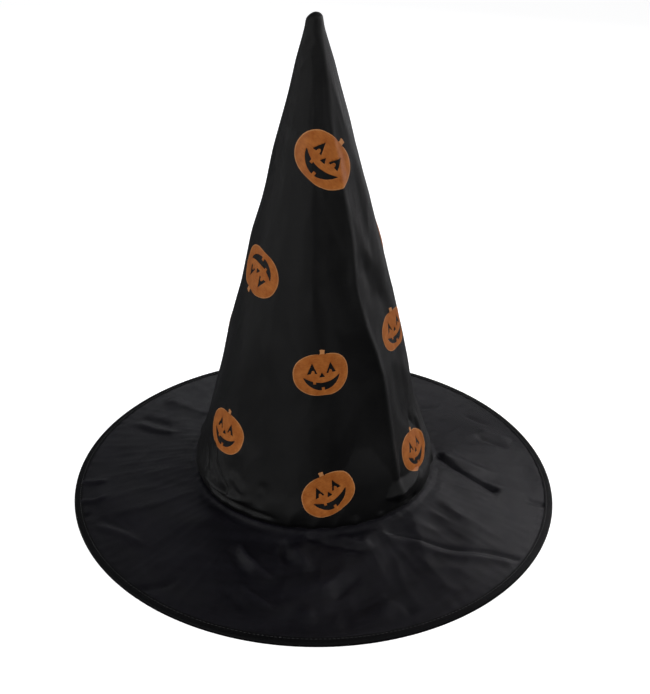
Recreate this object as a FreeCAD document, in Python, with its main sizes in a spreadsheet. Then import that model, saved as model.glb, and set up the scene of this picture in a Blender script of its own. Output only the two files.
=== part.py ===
import FreeCAD, Part
import math
import os
import re

import Sketcher

# A witch hat: a stiffened satin cone sewn to a wide wired brim, with printed pumpkins on the cone.
# Millimetres. The hat stands on its brim edge at z = 0, its axis is Z and its front faces -Y.
# Fabrics, stiffeners, thread, wire, band, label and prints are separate solids, laid as they are sewn.

document = FreeCAD.newDocument("witch_hat")
sheet = document.addObject("Spreadsheet::Sheet", "Sizes")

SIZES = {
    # overall
    "brim_diameter": (380, "across the bound brim edge"),
    "crown_top": (360, "height of the blunt tip above the rest plane"),
    "seam_height": (19.5, "height of the crown and brim seam"),
    "head_radius": (89.5, "inside radius of the headband, a 56 cm head"),
    "tip_radius": (6, "radius of the blunt tip"),
    "tip_rounding": (4, "rounding of the tip's edge"),
    # cloth and stiffener
    "cloth": (0.35, "thickness of every satin layer"),
    "brim_core": (0.5, "thickness of the brim stiffener"),
    "crown_core": (0.5, "thickness of the crown stiffener"),
    "layer_gap": (0.08, "air between two layers"),
    "seam_allowance": (5.5, "height of the edges turned up inside the crown"),
    "crown_stand": (6, "upright stretch of the crown above the seam"),
    "tip_free": (30, "length of the tip with no stiffener in it"),
    # the seam down the back of the crown
    "back_seam_depth": (6, "how far the sewn edges stand into the crown"),
    "back_seam_thickness": (1.2, "both sewn edges together"),
    "back_seam_rise": (3, "sewn edges above the headband"),
    "back_seam_free": (60, "length of the tip with no sewn edges in it"),
    # edge of the brim
    "wire_diameter": (1.6, "steel hoop in the brim edge"),
    "wire_end_gap": (2, "gap between the hoop's ends"),
    "ferrule_wall": (0.35, "wall of the sleeve that joins the hoop's ends"),
    "ferrule_clearance": (0.05, "between the hoop and its sleeve"),
    "ferrule_length": (16, "length of the sleeve"),
    "channel_clearance": (0.1, "between the sleeve and the binding"),
    "binding_width": (6, "width of the binding tape on each face of the brim"),
    # sewing thread
    "thread": (0.25, "thickness of every sewing thread"),
    "thread_room": (0.35, "room for the seam thread behind the headband"),
    "binding_stitch_inset": (1.2, "binding stitches to the tape's inner edge"),
    "seam_stitch_height": (3, "seam stitches above the seam"),
    "back_stitch_depth": (3, "back stitches into the sewn edges"),
    # headband
    "band_thickness": (0.7, "headband ribbon"),
    "band_height": (25, "headband ribbon's width"),
    "band_groove_height": (0.5, "groove that the headband stitches pull in"),
    "band_groove_depth": (0.36, "depth of that groove"),
    "band_groove_rise": (0.6, "groove above the band's lower edge"),
    # care label on the back seam
    "label_width": (22, "sewn edge to free edge"),
    "label_height": (30, "along the back seam"),
    "label_thickness": (0.3, "woven tape"),
    "label_rise": (9, "label's lower end above the headband"),
    "label_clearance": (0.5, "label's hinge line to the sewn edges"),
    "label_stitch_inset": (2.5, "label stitches to the hinge line"),
    # printed pumpkins
    "film": (0.15, "thickness of the printed film"),
    "film_gap": (0.05, "air between film and satin"),
    "lobe_radius": (14, "radius of each rounded lobe"),
    "lobe_spread": (5.5, "outer lobes to the middle one"),
    "stem_width": (6, "stem of the pumpkin"),
    "stem_height": (3.5, "stem above the lobes"),
    "eye_width": (9, "base of each triangular eye"),
    "eye_height": (6.5, "height of each eye"),
    "eye_spread": (8, "eye centre to the middle"),
    "eye_rise": (1.5, "eye base above the middle"),
    "nose_width": (4, "base of the nose"),
    "nose_height": (3.5, "height of the nose"),
    "grin_width": (26, "corner to corner of the grin"),
    "grin_depth": (8, "middle of the grin below its corners"),
    "grin_opening": (4.5, "height of the grin at the middle"),
    "large_print": (1.13, "scale of the print nearest to the tip"),
    "print_inside": (22, "how far each print's outline reaches in through the crown"),
    "print_outside": (6, "and how far it reaches out"),
}

for row, (alias, (number, meaning)) in enumerate(SIZES.items(), start=1):
    sheet.set(f"A{row}", alias)
    sheet.set(f"B{row}", str(number))
    sheet.setAlias(f"B{row}", alias)
    sheet.set(f"C{row}", meaning)
document.recompute()

WORD = re.compile(r"[a-z][a-z_]*[a-z]")


def linked(expression):
    """The expression with each alias written as a reference to the sheet."""
    return WORD.sub(lambda word: f"Sizes.{word[0]}" if word[0] in SIZES else word[0], expression)


def value(expression):
    """The expression's number now."""
    return float(sheet.evalExpression(expression))


# Radii of the layers that meet at the head opening, from the inside out.
BAND_OUT = "(head_radius + band_thickness)"
UNDER_IN = f"({BAND_OUT} + thread_room)"
BRIM_IN = UNDER_IN
STACK = "(cloth + layer_gap + brim_core + layer_gap + cloth)"
BRIM_OUT = f"({BRIM_IN} + {STACK})"
HEM_IN = f"({BRIM_OUT} + layer_gap)"
HEM_OUT = f"({HEM_IN} + cloth)"
CORE_IN = f"({HEM_OUT} + layer_gap)"
CORE_OUT = f"({CORE_IN} + crown_core)"
SKIN_IN = f"({CORE_OUT} + layer_gap)"
SKIN_OUT = f"({SKIN_IN} + cloth)"

# Crown: upright from the seam to the shoulder, then a straight cone to the tip.
SHOULDER = "(seam_height + crown_stand)"
TAPER = f"(({SKIN_OUT} - tip_radius) / (crown_top - {SHOULDER}))"
BACK_SEAM_HIGH = "(crown_top - back_seam_free)"
HEM_TOP = "(seam_height + seam_allowance)"

# Brim edge: the hoop lies in a channel of the binding, and the binding stands on z = 0.
WIRE = "(wire_diameter / 2)"
FERRULE_IN = f"({WIRE} + ferrule_clearance)"
FERRULE_OUT = f"({FERRULE_IN} + ferrule_wall)"
CHANNEL = f"({FERRULE_OUT} + channel_clearance)"
WIRE_HEIGHT = f"({CHANNEL} + cloth)"
WIRE_RADIUS = f"(brim_diameter / 2 - {WIRE_HEIGHT})"
BRIM_END = f"({WIRE_RADIUS} - {CHANNEL})"
LAP_END = "(brim_diameter / 2 - binding_width)"
SLOPE = f"((seam_height - {WIRE_HEIGHT} - {STACK} / 2) / ({WIRE_RADIUS} - {BRIM_OUT}))"
LAP_MIDDLE = f"({WIRE_HEIGHT} + {SLOPE} * ({WIRE_RADIUS} - {LAP_END}))"
LAP_INSIDE = f"({STACK} / 2 + layer_gap)"

# Headband: upright as far as the shoulder, then parallel to the crown.
BAND_LOW = f"(seam_height - {STACK})"
BAND_TOP = f"({BAND_LOW} + band_height)"
GROOVE_LOW = f"({BAND_LOW} + band_groove_rise)"
GROOVE_TOP = f"({GROOVE_LOW} + band_groove_height)"
BACK_SEAM_LOW = f"({BAND_TOP} + back_seam_rise)"
LABEL_LOW = f"({BAND_TOP} + label_rise)"


def on_cone(radius, height):
    """The radius, at a height above the shoulder, of a cone that has the given radius at the shoulder."""
    return f"({radius} - {TAPER} * ({height} - {SHOULDER}))"


def under_brim_top(depth):
    """The corner and the outer end of the brim surface that lies a depth below the brim's top."""
    corner = (f"({BRIM_OUT} - {depth})", f"(seam_height - {depth} + {SLOPE} * {depth})")
    end = (BRIM_END, f"(seam_height - {depth} - {SLOPE} * ({BRIM_END} - {BRIM_OUT}))")
    return corner, end


def new_body(label):
    """An empty PartDesign body."""
    body = document.addObject("PartDesign::Body", label)
    body.Label = label
    return body


def new_sketch(body, plane_role):
    """A sketch on one of the body's own origin planes."""
    sketch = body.newObject("Sketcher::SketchObject", f"{body.Label}_section")
    plane = [feature for feature in body.Origin.OriginFeatures if feature.Role == plane_role][0]
    sketch.AttachmentSupport = [(plane, "")]
    sketch.MapMode = "FlatFace"
    return sketch


def fix_point(sketch, geometry, point, across, upward):
    """Bind a point's two distances from the sketch origin to the sheet."""
    for kind, expression in (("DistanceX", across), ("DistanceY", upward)):
        if expression == "0":
            axis = -2 if kind == "DistanceX" else -1
            sketch.addConstraint(Sketcher.Constraint("PointOnObject", geometry, point, axis))
            continue
        constraint = Sketcher.Constraint(kind, -1, 1, geometry, point, value(expression))
        number = sketch.addConstraint(constraint)
        sketch.setExpression(f"Constraints[{number}]", linked(expression))


def outline(sketch, corners):
    """A closed outline of straight lines through the corners."""
    first = sketch.GeometryCount
    places = [FreeCAD.Vector(value(across), value(upward), 0) for across, upward in corners]
    count = len(corners)
    for index, place in enumerate(places):
        sketch.addGeometry(Part.LineSegment(place, places[(index + 1) % count]), False)
    for index, (across, upward) in enumerate(corners):
        following = first + (index + 1) % count
        sketch.addConstraint(Sketcher.Constraint("Coincident", first + index, 2, following, 1))
        fix_point(sketch, first + index, 1, across, upward)


def circle(sketch, across, upward, radius):
    """A circle whose centre and radius follow the sheet."""
    centre = FreeCAD.Vector(value(across), value(upward), 0)
    shape = Part.Circle(centre, FreeCAD.Vector(0, 0, 1), value(radius))
    geometry = sketch.addGeometry(shape, False)
    fix_point(sketch, geometry, 3, across, upward)
    number = sketch.addConstraint(Sketcher.Constraint("Radius", geometry, value(radius)))
    sketch.setExpression(f"Constraints[{number}]", linked(radius))


def revolve(body, sketch, angle="360"):
    """Turn the section about Z, evenly to both sides of the section's own plane."""
    feature = body.newObject("PartDesign::Revolution", f"{body.Label}_turned")
    feature.Profile = sketch
    feature.ReferenceAxis = (sketch, ["V_Axis"])
    feature.Midplane = True
    feature.Angle = value(angle)
    feature.setExpression("Angle", linked(angle))
    sketch.Visibility = False
    return feature


def ring(label, corners):
    """A body that is a full turn of one section, given as radius and height corners."""
    body = new_body(label)
    sketch = new_sketch(body, "XZ_Plane")
    outline(sketch, corners)
    revolve(body, sketch)
    return body


def pad(body, sketch, length):
    """Thicken a sketch evenly to both sides of its plane."""
    feature = body.newObject("PartDesign::Pad", f"{body.Label}_pad")
    feature.Profile = sketch
    feature.Midplane = True
    feature.setExpression("Length", linked(length))
    sketch.Visibility = False
    return feature


def thread_ring(label, inner_radius, low):
    """A sewing thread laid in a full circle."""
    outer_radius = f"({inner_radius} + thread)"
    top = f"({low} + thread)"
    corners = [(inner_radius, low), (outer_radius, low), (outer_radius, top), (inner_radius, top)]
    return ring(label, corners)


def crown_fabric():
    """Satin cone with a blunt closed tip; its lower edge is folded in and up at the seam."""
    low = "(seam_height + layer_gap)"
    inside_top = "(crown_top - cloth)"
    corners = [
        (HEM_IN, HEM_TOP), (HEM_IN, low), (SKIN_OUT, low), (SKIN_OUT, SHOULDER),
        ("tip_radius", "crown_top"), ("0", "crown_top"), ("0", inside_top),
        (on_cone(SKIN_IN, inside_top), inside_top), (SKIN_IN, SHOULDER),
        (SKIN_IN, f"({low} + cloth)"), (HEM_OUT, f"({low} + cloth)"), (HEM_OUT, HEM_TOP),
    ]
    body = ring("crown_fabric", corners)
    document.recompute()
    round_edge(body, "crown_top", "tip_rounding")
    round_edge(body, inside_top, "(tip_rounding - cloth)")
    return body


def round_edge(body, height, radius):
    """Fillet the body's circular edge at a height."""
    level = value(height)
    names = []
    for number, edge in enumerate(body.Shape.Edges, start=1):
        box = edge.BoundBox
        flat = abs(box.ZMin - level) < 1e-4 and abs(box.ZMax - level) < 1e-4
        if flat and isinstance(edge.Curve, Part.Circle):
            names.append(f"Edge{number}")
    rounded = body.Tip
    fillet = body.newObject("PartDesign::Fillet", "tip_fillet")
    fillet.Base = (rounded, names)
    fillet.setExpression("Radius", linked(radius))
    document.recompute()


def crown_stiffener():
    """Non-woven cone inside the satin, with the two sewn edges of the back seam standing inward."""
    low = "(seam_height + layer_gap + cloth + layer_gap)"
    top = "(crown_top - tip_free)"
    body = ring("crown_stiffener", [
        (CORE_IN, low), (CORE_OUT, low), (CORE_OUT, SHOULDER), (on_cone(CORE_OUT, top), top),
        (on_cone(CORE_IN, top), top), (CORE_IN, SHOULDER),
    ])
    sketch = new_sketch(body, "YZ_Plane")
    wall = f"({CORE_IN} + crown_core / 2)"
    edge = f"({CORE_IN} - back_seam_depth)"
    outline(sketch, [
        (on_cone(edge, BACK_SEAM_LOW), BACK_SEAM_LOW),
        (on_cone(wall, BACK_SEAM_LOW), BACK_SEAM_LOW),
        (on_cone(wall, BACK_SEAM_HIGH), BACK_SEAM_HIGH),
        (on_cone(edge, BACK_SEAM_HIGH), BACK_SEAM_HIGH),
    ])
    pad(body, sketch, "back_seam_thickness")
    return body


def brim_layer(label, top_depth, bottom_depth):
    """One layer of the brim: a shallow cone with its inner edge turned up inside the crown."""
    top_corner, top_end = under_brim_top(top_depth)
    bottom_corner, bottom_end = under_brim_top(bottom_depth)
    return ring(label, [
        (top_corner[0], HEM_TOP), top_corner, top_end,
        bottom_end, bottom_corner, (bottom_corner[0], HEM_TOP),
    ])


def brim_edge_wire():
    """Steel hoop in the brim edge, open at the back where its sleeve joins it."""
    body = new_body("brim_edge_wire")
    sketch = new_sketch(body, "XZ_Plane")
    circle(sketch, WIRE_RADIUS, WIRE_HEIGHT, WIRE)
    revolve(body, sketch, f"360 - wire_end_gap / {WIRE_RADIUS} * 180 / pi")
    body.Placement.Rotation = FreeCAD.Rotation(FreeCAD.Vector(0, 0, 1), -90)
    return body


def wire_ferrule():
    """Crimped sleeve over the two ends of the hoop."""
    body = new_body("wire_ferrule")
    sketch = new_sketch(body, "XZ_Plane")
    circle(sketch, WIRE_RADIUS, WIRE_HEIGHT, FERRULE_OUT)
    circle(sketch, WIRE_RADIUS, WIRE_HEIGHT, FERRULE_IN)
    revolve(body, sketch, f"ferrule_length / {WIRE_RADIUS} * 180 / pi")
    body.Placement.Rotation = FreeCAD.Rotation(FreeCAD.Vector(0, 0, 1), 90)
    return body


def half_circle(sketch, radius):
    """The outer half of a circle about the hoop's section; its ends are straight above and below."""
    centre = FreeCAD.Vector(value(WIRE_RADIUS), value(WIRE_HEIGHT), 0)
    whole = Part.Circle(centre, FreeCAD.Vector(0, 0, 1), value(radius))
    arc = sketch.addGeometry(Part.ArcOfCircle(whole, -math.pi / 2, math.pi / 2), False)
    fix_point(sketch, arc, 1, WIRE_RADIUS, f"({WIRE_HEIGHT} - {radius})")
    fix_point(sketch, arc, 2, WIRE_RADIUS, f"({WIRE_HEIGHT} + {radius})")
    centred = Sketcher.Constraint("DistanceX", -1, 1, arc, 3, value(WIRE_RADIUS))
    number = sketch.addConstraint(centred)
    sketch.setExpression(f"Constraints[{number}]", linked(WIRE_RADIUS))
    return arc


def binding_lap(sketch, inner_arc, outer_arc, end_of_arc, sign):
    """One half of the tape: from the hoop inward along one face of the brim."""
    inside = f"({LAP_MIDDLE} {sign} {LAP_INSIDE})"
    outside = f"({LAP_MIDDLE} {sign} ({LAP_INSIDE} + cloth))"
    places = [sketch.getPoint(inner_arc, end_of_arc), FreeCAD.Vector(value(LAP_END), value(inside), 0),
              FreeCAD.Vector(value(LAP_END), value(outside), 0), sketch.getPoint(outer_arc, end_of_arc)]
    lines = [sketch.addGeometry(Part.LineSegment(start, end), False)
             for start, end in zip(places, places[1:])]
    joins = [(inner_arc, end_of_arc, lines[0], 1), (lines[0], 2, lines[1], 1),
             (lines[1], 2, lines[2], 1), (lines[2], 2, outer_arc, end_of_arc)]
    for join in joins:
        sketch.addConstraint(Sketcher.Constraint("Coincident", *join))
    fix_point(sketch, lines[1], 1, LAP_END, inside)
    fix_point(sketch, lines[1], 2, LAP_END, outside)


def brim_binding():
    """Satin tape folded round the brim edge and the hoop."""
    body = new_body("brim_binding")
    sketch = new_sketch(body, "XZ_Plane")
    inner_arc = half_circle(sketch, CHANNEL)
    outer_arc = half_circle(sketch, f"({CHANNEL} + cloth)")
    binding_lap(sketch, inner_arc, outer_arc, 2, "+")
    binding_lap(sketch, inner_arc, outer_arc, 1, "-")
    revolve(body, sketch)
    return body


def binding_threads():
    """The stitch rows that hold the tape, one on each face of the brim."""
    start = f"({LAP_END} + binding_stitch_inset)"
    rise = f"({CHANNEL} - {LAP_INSIDE})"
    reach = f"({WIRE_RADIUS} - {LAP_END})"
    middle = f"({WIRE_HEIGHT} + {SLOPE} * ({WIRE_RADIUS} - {start}))"
    half = f"({LAP_INSIDE} + cloth + {rise} * (binding_stitch_inset + thread) / {reach})"
    fall = f"({SLOPE} * thread)"
    thread_ring("binding_thread_top", start, f"({middle} + {half} + layer_gap)")
    thread_ring("binding_thread_under", start, f"({middle} - {half} - layer_gap - thread - {fall})")


def headband():
    """Ribbon inside the head opening; its round bore is what a head or a hat stand fills."""
    groove = "(head_radius + band_groove_depth)"
    return ring("headband", [
        (BAND_OUT, BAND_LOW), ("head_radius", BAND_LOW), ("head_radius", GROOVE_LOW),
        (groove, GROOVE_LOW), (groove, GROOVE_TOP), ("head_radius", GROOVE_TOP),
        ("head_radius", SHOULDER), (on_cone("head_radius", BAND_TOP), BAND_TOP),
        (on_cone(BAND_OUT, BAND_TOP), BAND_TOP), (BAND_OUT, SHOULDER),
    ])


def leaning_strip(label, across, radius, low, sizes):
    """A flat strip that leans with the crown's back: corner across X, radius at the shoulder, height."""
    strip = document.addObject("Part::Box", label)
    strip.Label = label
    for name, size in zip(("Length", "Width", "Height"), sizes):
        strip.setExpression(name, linked(size))
    strip.setExpression("Placement.Base.x", linked(across))
    strip.setExpression("Placement.Base.y", linked(on_cone(radius, low)))
    strip.setExpression("Placement.Base.z", linked(low))
    lean = math.degrees(math.atan(value(TAPER)))
    strip.Placement.Rotation = FreeCAD.Rotation(FreeCAD.Vector(1, 0, 0), lean)
    return strip


def back_seam_thread():
    """Stitching along one side of the back seam's sewn edges."""
    margin = "back_stitch_depth"
    low = f"({BACK_SEAM_LOW} + {margin})"
    length = f"({BACK_SEAM_HIGH} - {BACK_SEAM_LOW} - 2 * {margin})"
    leaning_strip("back_seam_thread", "(back_seam_thickness / 2 + layer_gap)",
                  f"({CORE_IN} - back_stitch_depth)", low, ("thread", "thread", length))


def care_label():
    """Blank woven label that turns about the inner edge of the back seam, with its stitches."""
    hinge = f"({CORE_IN} - back_seam_depth - label_clearance)"
    leaning_strip("care_label", "label_clearance", f"({hinge} - label_thickness / 2)", LABEL_LOW,
                  ("label_width", "label_thickness", "label_height"))
    leaning_strip("care_label_thread", "label_stitch_inset",
                  f"({hinge} - label_thickness / 2 - layer_gap - thread)", f"({LABEL_LOW} + 1)",
                  ("thread", "thread", "(label_height - 2)"))


def motif(label, scale):
    """A pumpkin outline with cut-out eyes, nose and grin, as a prism along Y."""
    body = new_body(label)
    depth = "(print_inside + print_outside)"

    def scaled(*sizes):
        return tuple(size if size == "0" else f"({size}) * {scale}" for size in sizes)

    for side in ("0 - lobe_spread", "0", "lobe_spread"):
        sketch = new_sketch(body, "XZ_Plane")
        across = scaled(side)[0]
        circle(sketch, across, "0", scaled("lobe_radius")[0])
        pad(body, sketch, depth)
    stem_top = "lobe_radius + stem_height"
    shapes = [[("0 - stem_width / 2", "lobe_radius / 2"), ("stem_width / 2", "lobe_radius / 2"),
               ("stem_width / 3", stem_top), ("0 - stem_width / 4", stem_top)]]
    for side in ("0 - eye_spread", "eye_spread"):
        shapes.append([(f"{side} - eye_width / 2", "eye_rise"), (f"{side} + eye_width / 2", "eye_rise"),
                       (side, "eye_rise + eye_height")])
    shapes.append([("0 - nose_width / 2", "0 - nose_height / 2"),
                   ("nose_width / 2", "0 - nose_height / 2"), ("0", "nose_height / 2")])
    shapes.append([("0 - grin_width / 2", "0 - nose_height / 2"),
                   ("0 - grin_width / 4", "0 - nose_height / 2 - grin_depth / 2"),
                   ("0", "0 - nose_height / 2 - grin_depth + grin_opening"),
                   ("grin_width / 4", "0 - nose_height / 2 - grin_depth / 2"),
                   ("grin_width / 2", "0 - nose_height / 2"),
                   ("grin_width / 4", "0 - nose_height / 2 - grin_depth / 2 - grin_opening"),
                   ("0", "0 - nose_height / 2 - grin_depth - grin_opening / 3"),
                   ("0 - grin_width / 4", "0 - nose_height / 2 - grin_depth / 2 - grin_opening")])
    for index, corners in enumerate(shapes):
        sketch = new_sketch(body, "XZ_Plane")
        outline(sketch, [scaled(*corner) for corner in corners])
        if index == 0:
            pad(body, sketch, depth)
            continue
        document.recompute()
        pocket = body.newObject("PartDesign::Pocket", f"{label}_cut")
        pocket.Profile = sketch
        pocket.Midplane = True
        pocket.setExpression("Length", linked(f"2 * {depth}"))
        sketch.Visibility = False
    return body


def print_shell():
    """The thin cone that every printed film is cut from."""
    cones = []
    for label, offset in (("print_inner_cone", "film_gap"), ("print_outer_cone", "(film_gap + film)")):
        cone = document.addObject("Part::Cone", label)
        cone.setExpression("Radius1", linked(f"{SKIN_OUT} + {offset}"))
        cone.setExpression("Radius2", linked(f"tip_radius + {offset}"))
        cone.setExpression("Height", linked(f"crown_top - {SHOULDER}"))
        cone.setExpression("Placement.Base.z", linked(SHOULDER))
        cones.append(cone)
    shell = document.addObject("Part::Cut", "print_shell")
    shell.Tool, shell.Base = cones
    return shell


# Printed pumpkins: node name, degrees round the crown from the front towards +X, height of the
# middle, and turn in degrees, positive counter-clockwise as seen from outside.
PRINTS = [
    ("pumpkin_print_front_top", 10, 273, -45),
    ("pumpkin_print_left_upper", -57, 194, 158),
    ("pumpkin_print_right_middle", 71, 147, 20),
    ("pumpkin_print_front_middle", 1, 132, 0),
    ("pumpkin_print_left_low", -57, 73, -22),
    ("pumpkin_print_right_low", 61, 55, 0),
    ("pumpkin_print_front_low", 4, 46, 28),
    ("pumpkin_print_back_top", -168, 272, 25),
    ("pumpkin_print_right_upper", 112, 210, 170),
    ("pumpkin_print_back_upper", -160, 198, -35),
    ("pumpkin_print_left_middle", -110, 132, 35),
    ("pumpkin_print_back_left_middle", -172, 124, 200),
    ("pumpkin_print_back_right_middle", 133, 124, -15),
    ("pumpkin_print_back_right_low", 120, 51, 40),
    ("pumpkin_print_back_low", 180, 48, -10),
    ("pumpkin_print_back_left_low", -118, 52, 185),
]


def crown_print(label, around, height, turn, shell, shape):
    """One printed film: the shell's piece inside the pumpkin outline, set square to the crown."""
    lean = math.degrees(math.atan(value(TAPER)))
    inward = (value("print_inside") - value("print_outside")) / 2
    radius = value(on_cone(SKIN_OUT, str(height)))
    outline_prism = document.addObject("App::Link", f"{label}_outline")
    outline_prism.LinkedObject = shape
    outline_prism.Placement = (
        FreeCAD.Placement(FreeCAD.Vector(), FreeCAD.Rotation(FreeCAD.Vector(0, 0, 1), around))
        * FreeCAD.Placement(FreeCAD.Vector(0, -radius, height), FreeCAD.Rotation(FreeCAD.Vector(1, 0, 0), -lean))
        * FreeCAD.Placement(FreeCAD.Vector(0, inward, 0), FreeCAD.Rotation(FreeCAD.Vector(0, 1, 0), -turn))
    )
    film = document.addObject("Part::Common", label)
    film.Label = label
    film.Base = shell
    film.Tool = outline_prism
    return film


crown_fabric()
crown_stiffener()
back_seam_thread()
brim_layer("brim_top_fabric", "0", "cloth")
brim_layer("brim_stiffener", "(cloth + layer_gap)", "(cloth + layer_gap + brim_core)")
brim_layer("brim_underside_fabric", f"({STACK} - cloth)", STACK)
brim_edge_wire()
wire_ferrule()
brim_binding()
binding_threads()
thread_ring("crown_seam_thread", f"({BAND_OUT} + (thread_room - thread) / 2)",
            "(seam_height + seam_stitch_height)")
headband()
thread_ring("headband_thread", "(head_radius + (band_groove_depth - thread) / 2)",
            f"({GROOVE_LOW} + (band_groove_height - thread) / 2)")
care_label()

usual_outline = motif("pumpkin_outline", "1")
large_outline = motif("large_pumpkin_outline", "large_print")
film_shell = print_shell()
for print_label, around, height, turn in PRINTS:
    tip_print = print_label in ("pumpkin_print_front_top", "pumpkin_print_back_top")
    chosen = large_outline if tip_print else usual_outline
    crown_print(print_label, around, height, turn, film_shell, chosen)

document.recompute()

NODES = [
    "crown_fabric", "crown_stiffener", "back_seam_thread",
    "brim_top_fabric", "brim_stiffener", "brim_underside_fabric",
    "brim_edge_wire", "wire_ferrule", "brim_binding", "binding_thread_top", "binding_thread_under",
    "crown_seam_thread", "headband", "headband_thread", "care_label", "care_label_thread",
] + [entry[0] for entry in PRINTS]

for item in document.Objects:
    if "Invalid" in item.State or "Error" in item.State:
        raise RuntimeError(f"{item.Label} did not recompute: {item.State}")

solids = {}
for node in NODES:
    found = document.getObjectsByLabel(node)[0]
    shape = found.Shape
    if shape.isNull() or not shape.isValid() or not shape.Solids:
        raise RuntimeError(f"{node} has no valid solid")
    solids[node] = shape

os.makedirs("parts", exist_ok=True)
for node, shape in solids.items():
    shape.exportStep(f"parts/{node}.step")
    print(f"{node}: {len(shape.Solids)} solid, {shape.Volume:.1f} mm3")
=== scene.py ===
import math

import bmesh
import bpy
import numpy as np
from mathutils import Matrix, Vector


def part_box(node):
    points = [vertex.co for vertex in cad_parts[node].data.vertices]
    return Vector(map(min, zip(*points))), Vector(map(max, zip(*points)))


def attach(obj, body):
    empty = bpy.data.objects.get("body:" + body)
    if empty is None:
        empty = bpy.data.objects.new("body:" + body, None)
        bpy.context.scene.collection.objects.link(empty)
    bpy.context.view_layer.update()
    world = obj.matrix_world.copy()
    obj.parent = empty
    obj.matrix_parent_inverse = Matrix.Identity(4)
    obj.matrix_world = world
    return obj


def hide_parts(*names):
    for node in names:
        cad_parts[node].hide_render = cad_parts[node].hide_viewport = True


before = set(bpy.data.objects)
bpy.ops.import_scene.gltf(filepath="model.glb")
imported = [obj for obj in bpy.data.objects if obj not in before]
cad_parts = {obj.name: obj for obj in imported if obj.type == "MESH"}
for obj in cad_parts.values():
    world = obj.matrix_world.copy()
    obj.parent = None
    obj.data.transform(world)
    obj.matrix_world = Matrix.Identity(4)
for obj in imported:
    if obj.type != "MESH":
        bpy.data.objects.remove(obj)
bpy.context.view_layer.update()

# The looks of a black satin witch hat with printed pumpkins. Metres in Blender; MM turns the sizes
# below, which are written in millimetres, into metres. Angles round the hat are in degrees from the
# front (-Y) towards +X.

MM = 0.001

# ---------------------------------------------------------------- sizes read from the frame

seam_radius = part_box("crown_fabric")[1].x / MM
crown_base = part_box("crown_fabric")[0].z / MM
crown_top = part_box("crown_fabric")[1].z / MM
brim_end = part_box("brim_top_fabric")[1].x / MM
brim_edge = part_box("brim_binding")[1].x / MM
wire_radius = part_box("brim_edge_wire")[1].x / MM
band_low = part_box("headband")[0].z / MM
band_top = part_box("headband")[1].z / MM

CLOTH = 0.35
LAYER_GAP = 0.08
CORE = 0.5
STACK = 2 * CLOTH + 2 * LAYER_GAP + CORE
STAND = 6.0
TIP_RADIUS = 6.0
TIP_ROUNDING = 4.5
CAP_ROWS = 8
CROWN_EASE = 0.2
HEAD_RADIUS = 89.5
BAND_THICKNESS = 0.7
HEM_DEPTH = 1.4
TAPE_WIDTH = 6.0
SWELL_FROM = 186.0
STITCHES_ROUND = 400
STITCH_RADIUS = brim_edge - TAPE_WIDTH + 1.3

seam_height = crown_base - LAYER_GAP
shoulder = seam_height + STAND
taper = (seam_radius - TIP_RADIUS) / (crown_top - shoulder)
cone_stretch = math.hypot(1.0, taper)
brim_inner = seam_radius - 2 * CLOTH - CORE - 3 * LAYER_GAP
edge_middle = (wire_radius - 0.8, 1.65)
slope = (seam_height - edge_middle[1] - STACK / 2) / (edge_middle[0] - brim_inner)

# The tip stands a little to one side, as a soft cone's does.
LEAN_AT_TIP = -4.4
LEAN_GROWTH = 2.4
TIP_SLANT = 1.4
TIP_RISE = 3.4
TIP_PINCH = 0.2


# ---------------------------------------------------------------- folds

def smooth(t):
    """0 below 0, 1 above 1, and a smooth step between."""
    t = np.clip(t, 0.0, 1.0)
    return t * t * (3.0 - 2.0 * t)


def curve_points(points, per_span=6):
    """A smooth line through given points (Catmull-Rom)."""
    p = np.array(points, float)
    if len(p) == 2:
        t = np.linspace(0, 1, per_span + 1)[:, None]
        return p[0] * (1 - t) + p[1] * t
    p = np.vstack([2 * p[0] - p[1], p, 2 * p[-1] - p[-2]])
    out = []
    for a, b, c, d in zip(p, p[1:], p[2:], p[3:]):
        for t in np.arange(per_span) / per_span:
            out.append(0.5 * (2 * b + (c - a) * t + (2 * a - 5 * b + 4 * c - d) * t * t
                              + (3 * b - a - 3 * c + d) * t ** 3))
    out.append(p[-2])
    return np.array(out)


def along(around, across, radius, path):
    """Distance in millimetres from a path of (degrees, millimetres), and the share along it."""
    line = curve_points(path)
    steps = np.hypot(np.radians(np.diff(line[:, 0])) * np.mean(radius), np.diff(line[:, 1]))
    total = np.concatenate([[0], np.cumsum(steps)])
    best = np.full(around.shape, 1e9)
    share = np.zeros(around.shape)
    for i in range(len(line) - 1):
        ax = wrap(around - line[i, 0]) * np.pi / 180 * radius
        ay = across - line[i, 1]
        bx = np.radians(line[i + 1, 0] - line[i, 0]) * radius
        by = line[i + 1, 1] - line[i, 1]
        length = np.maximum(bx * bx + by * by, 1e-9)
        t = np.clip((ax * bx + ay * by) / length, 0, 1)
        dx, dy = ax - t * bx, ay - t * by
        d = np.hypot(dx, dy)
        nearer = d < best
        best = np.where(nearer, d, best)
        share = np.where(nearer, (total[i] + t * (total[i + 1] - total[i])) / total[-1], share)
    return best, share


def wrap(degrees):
    """Degrees brought into -180 to 180."""
    return (degrees + 180.0) % 360.0 - 180.0


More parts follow.
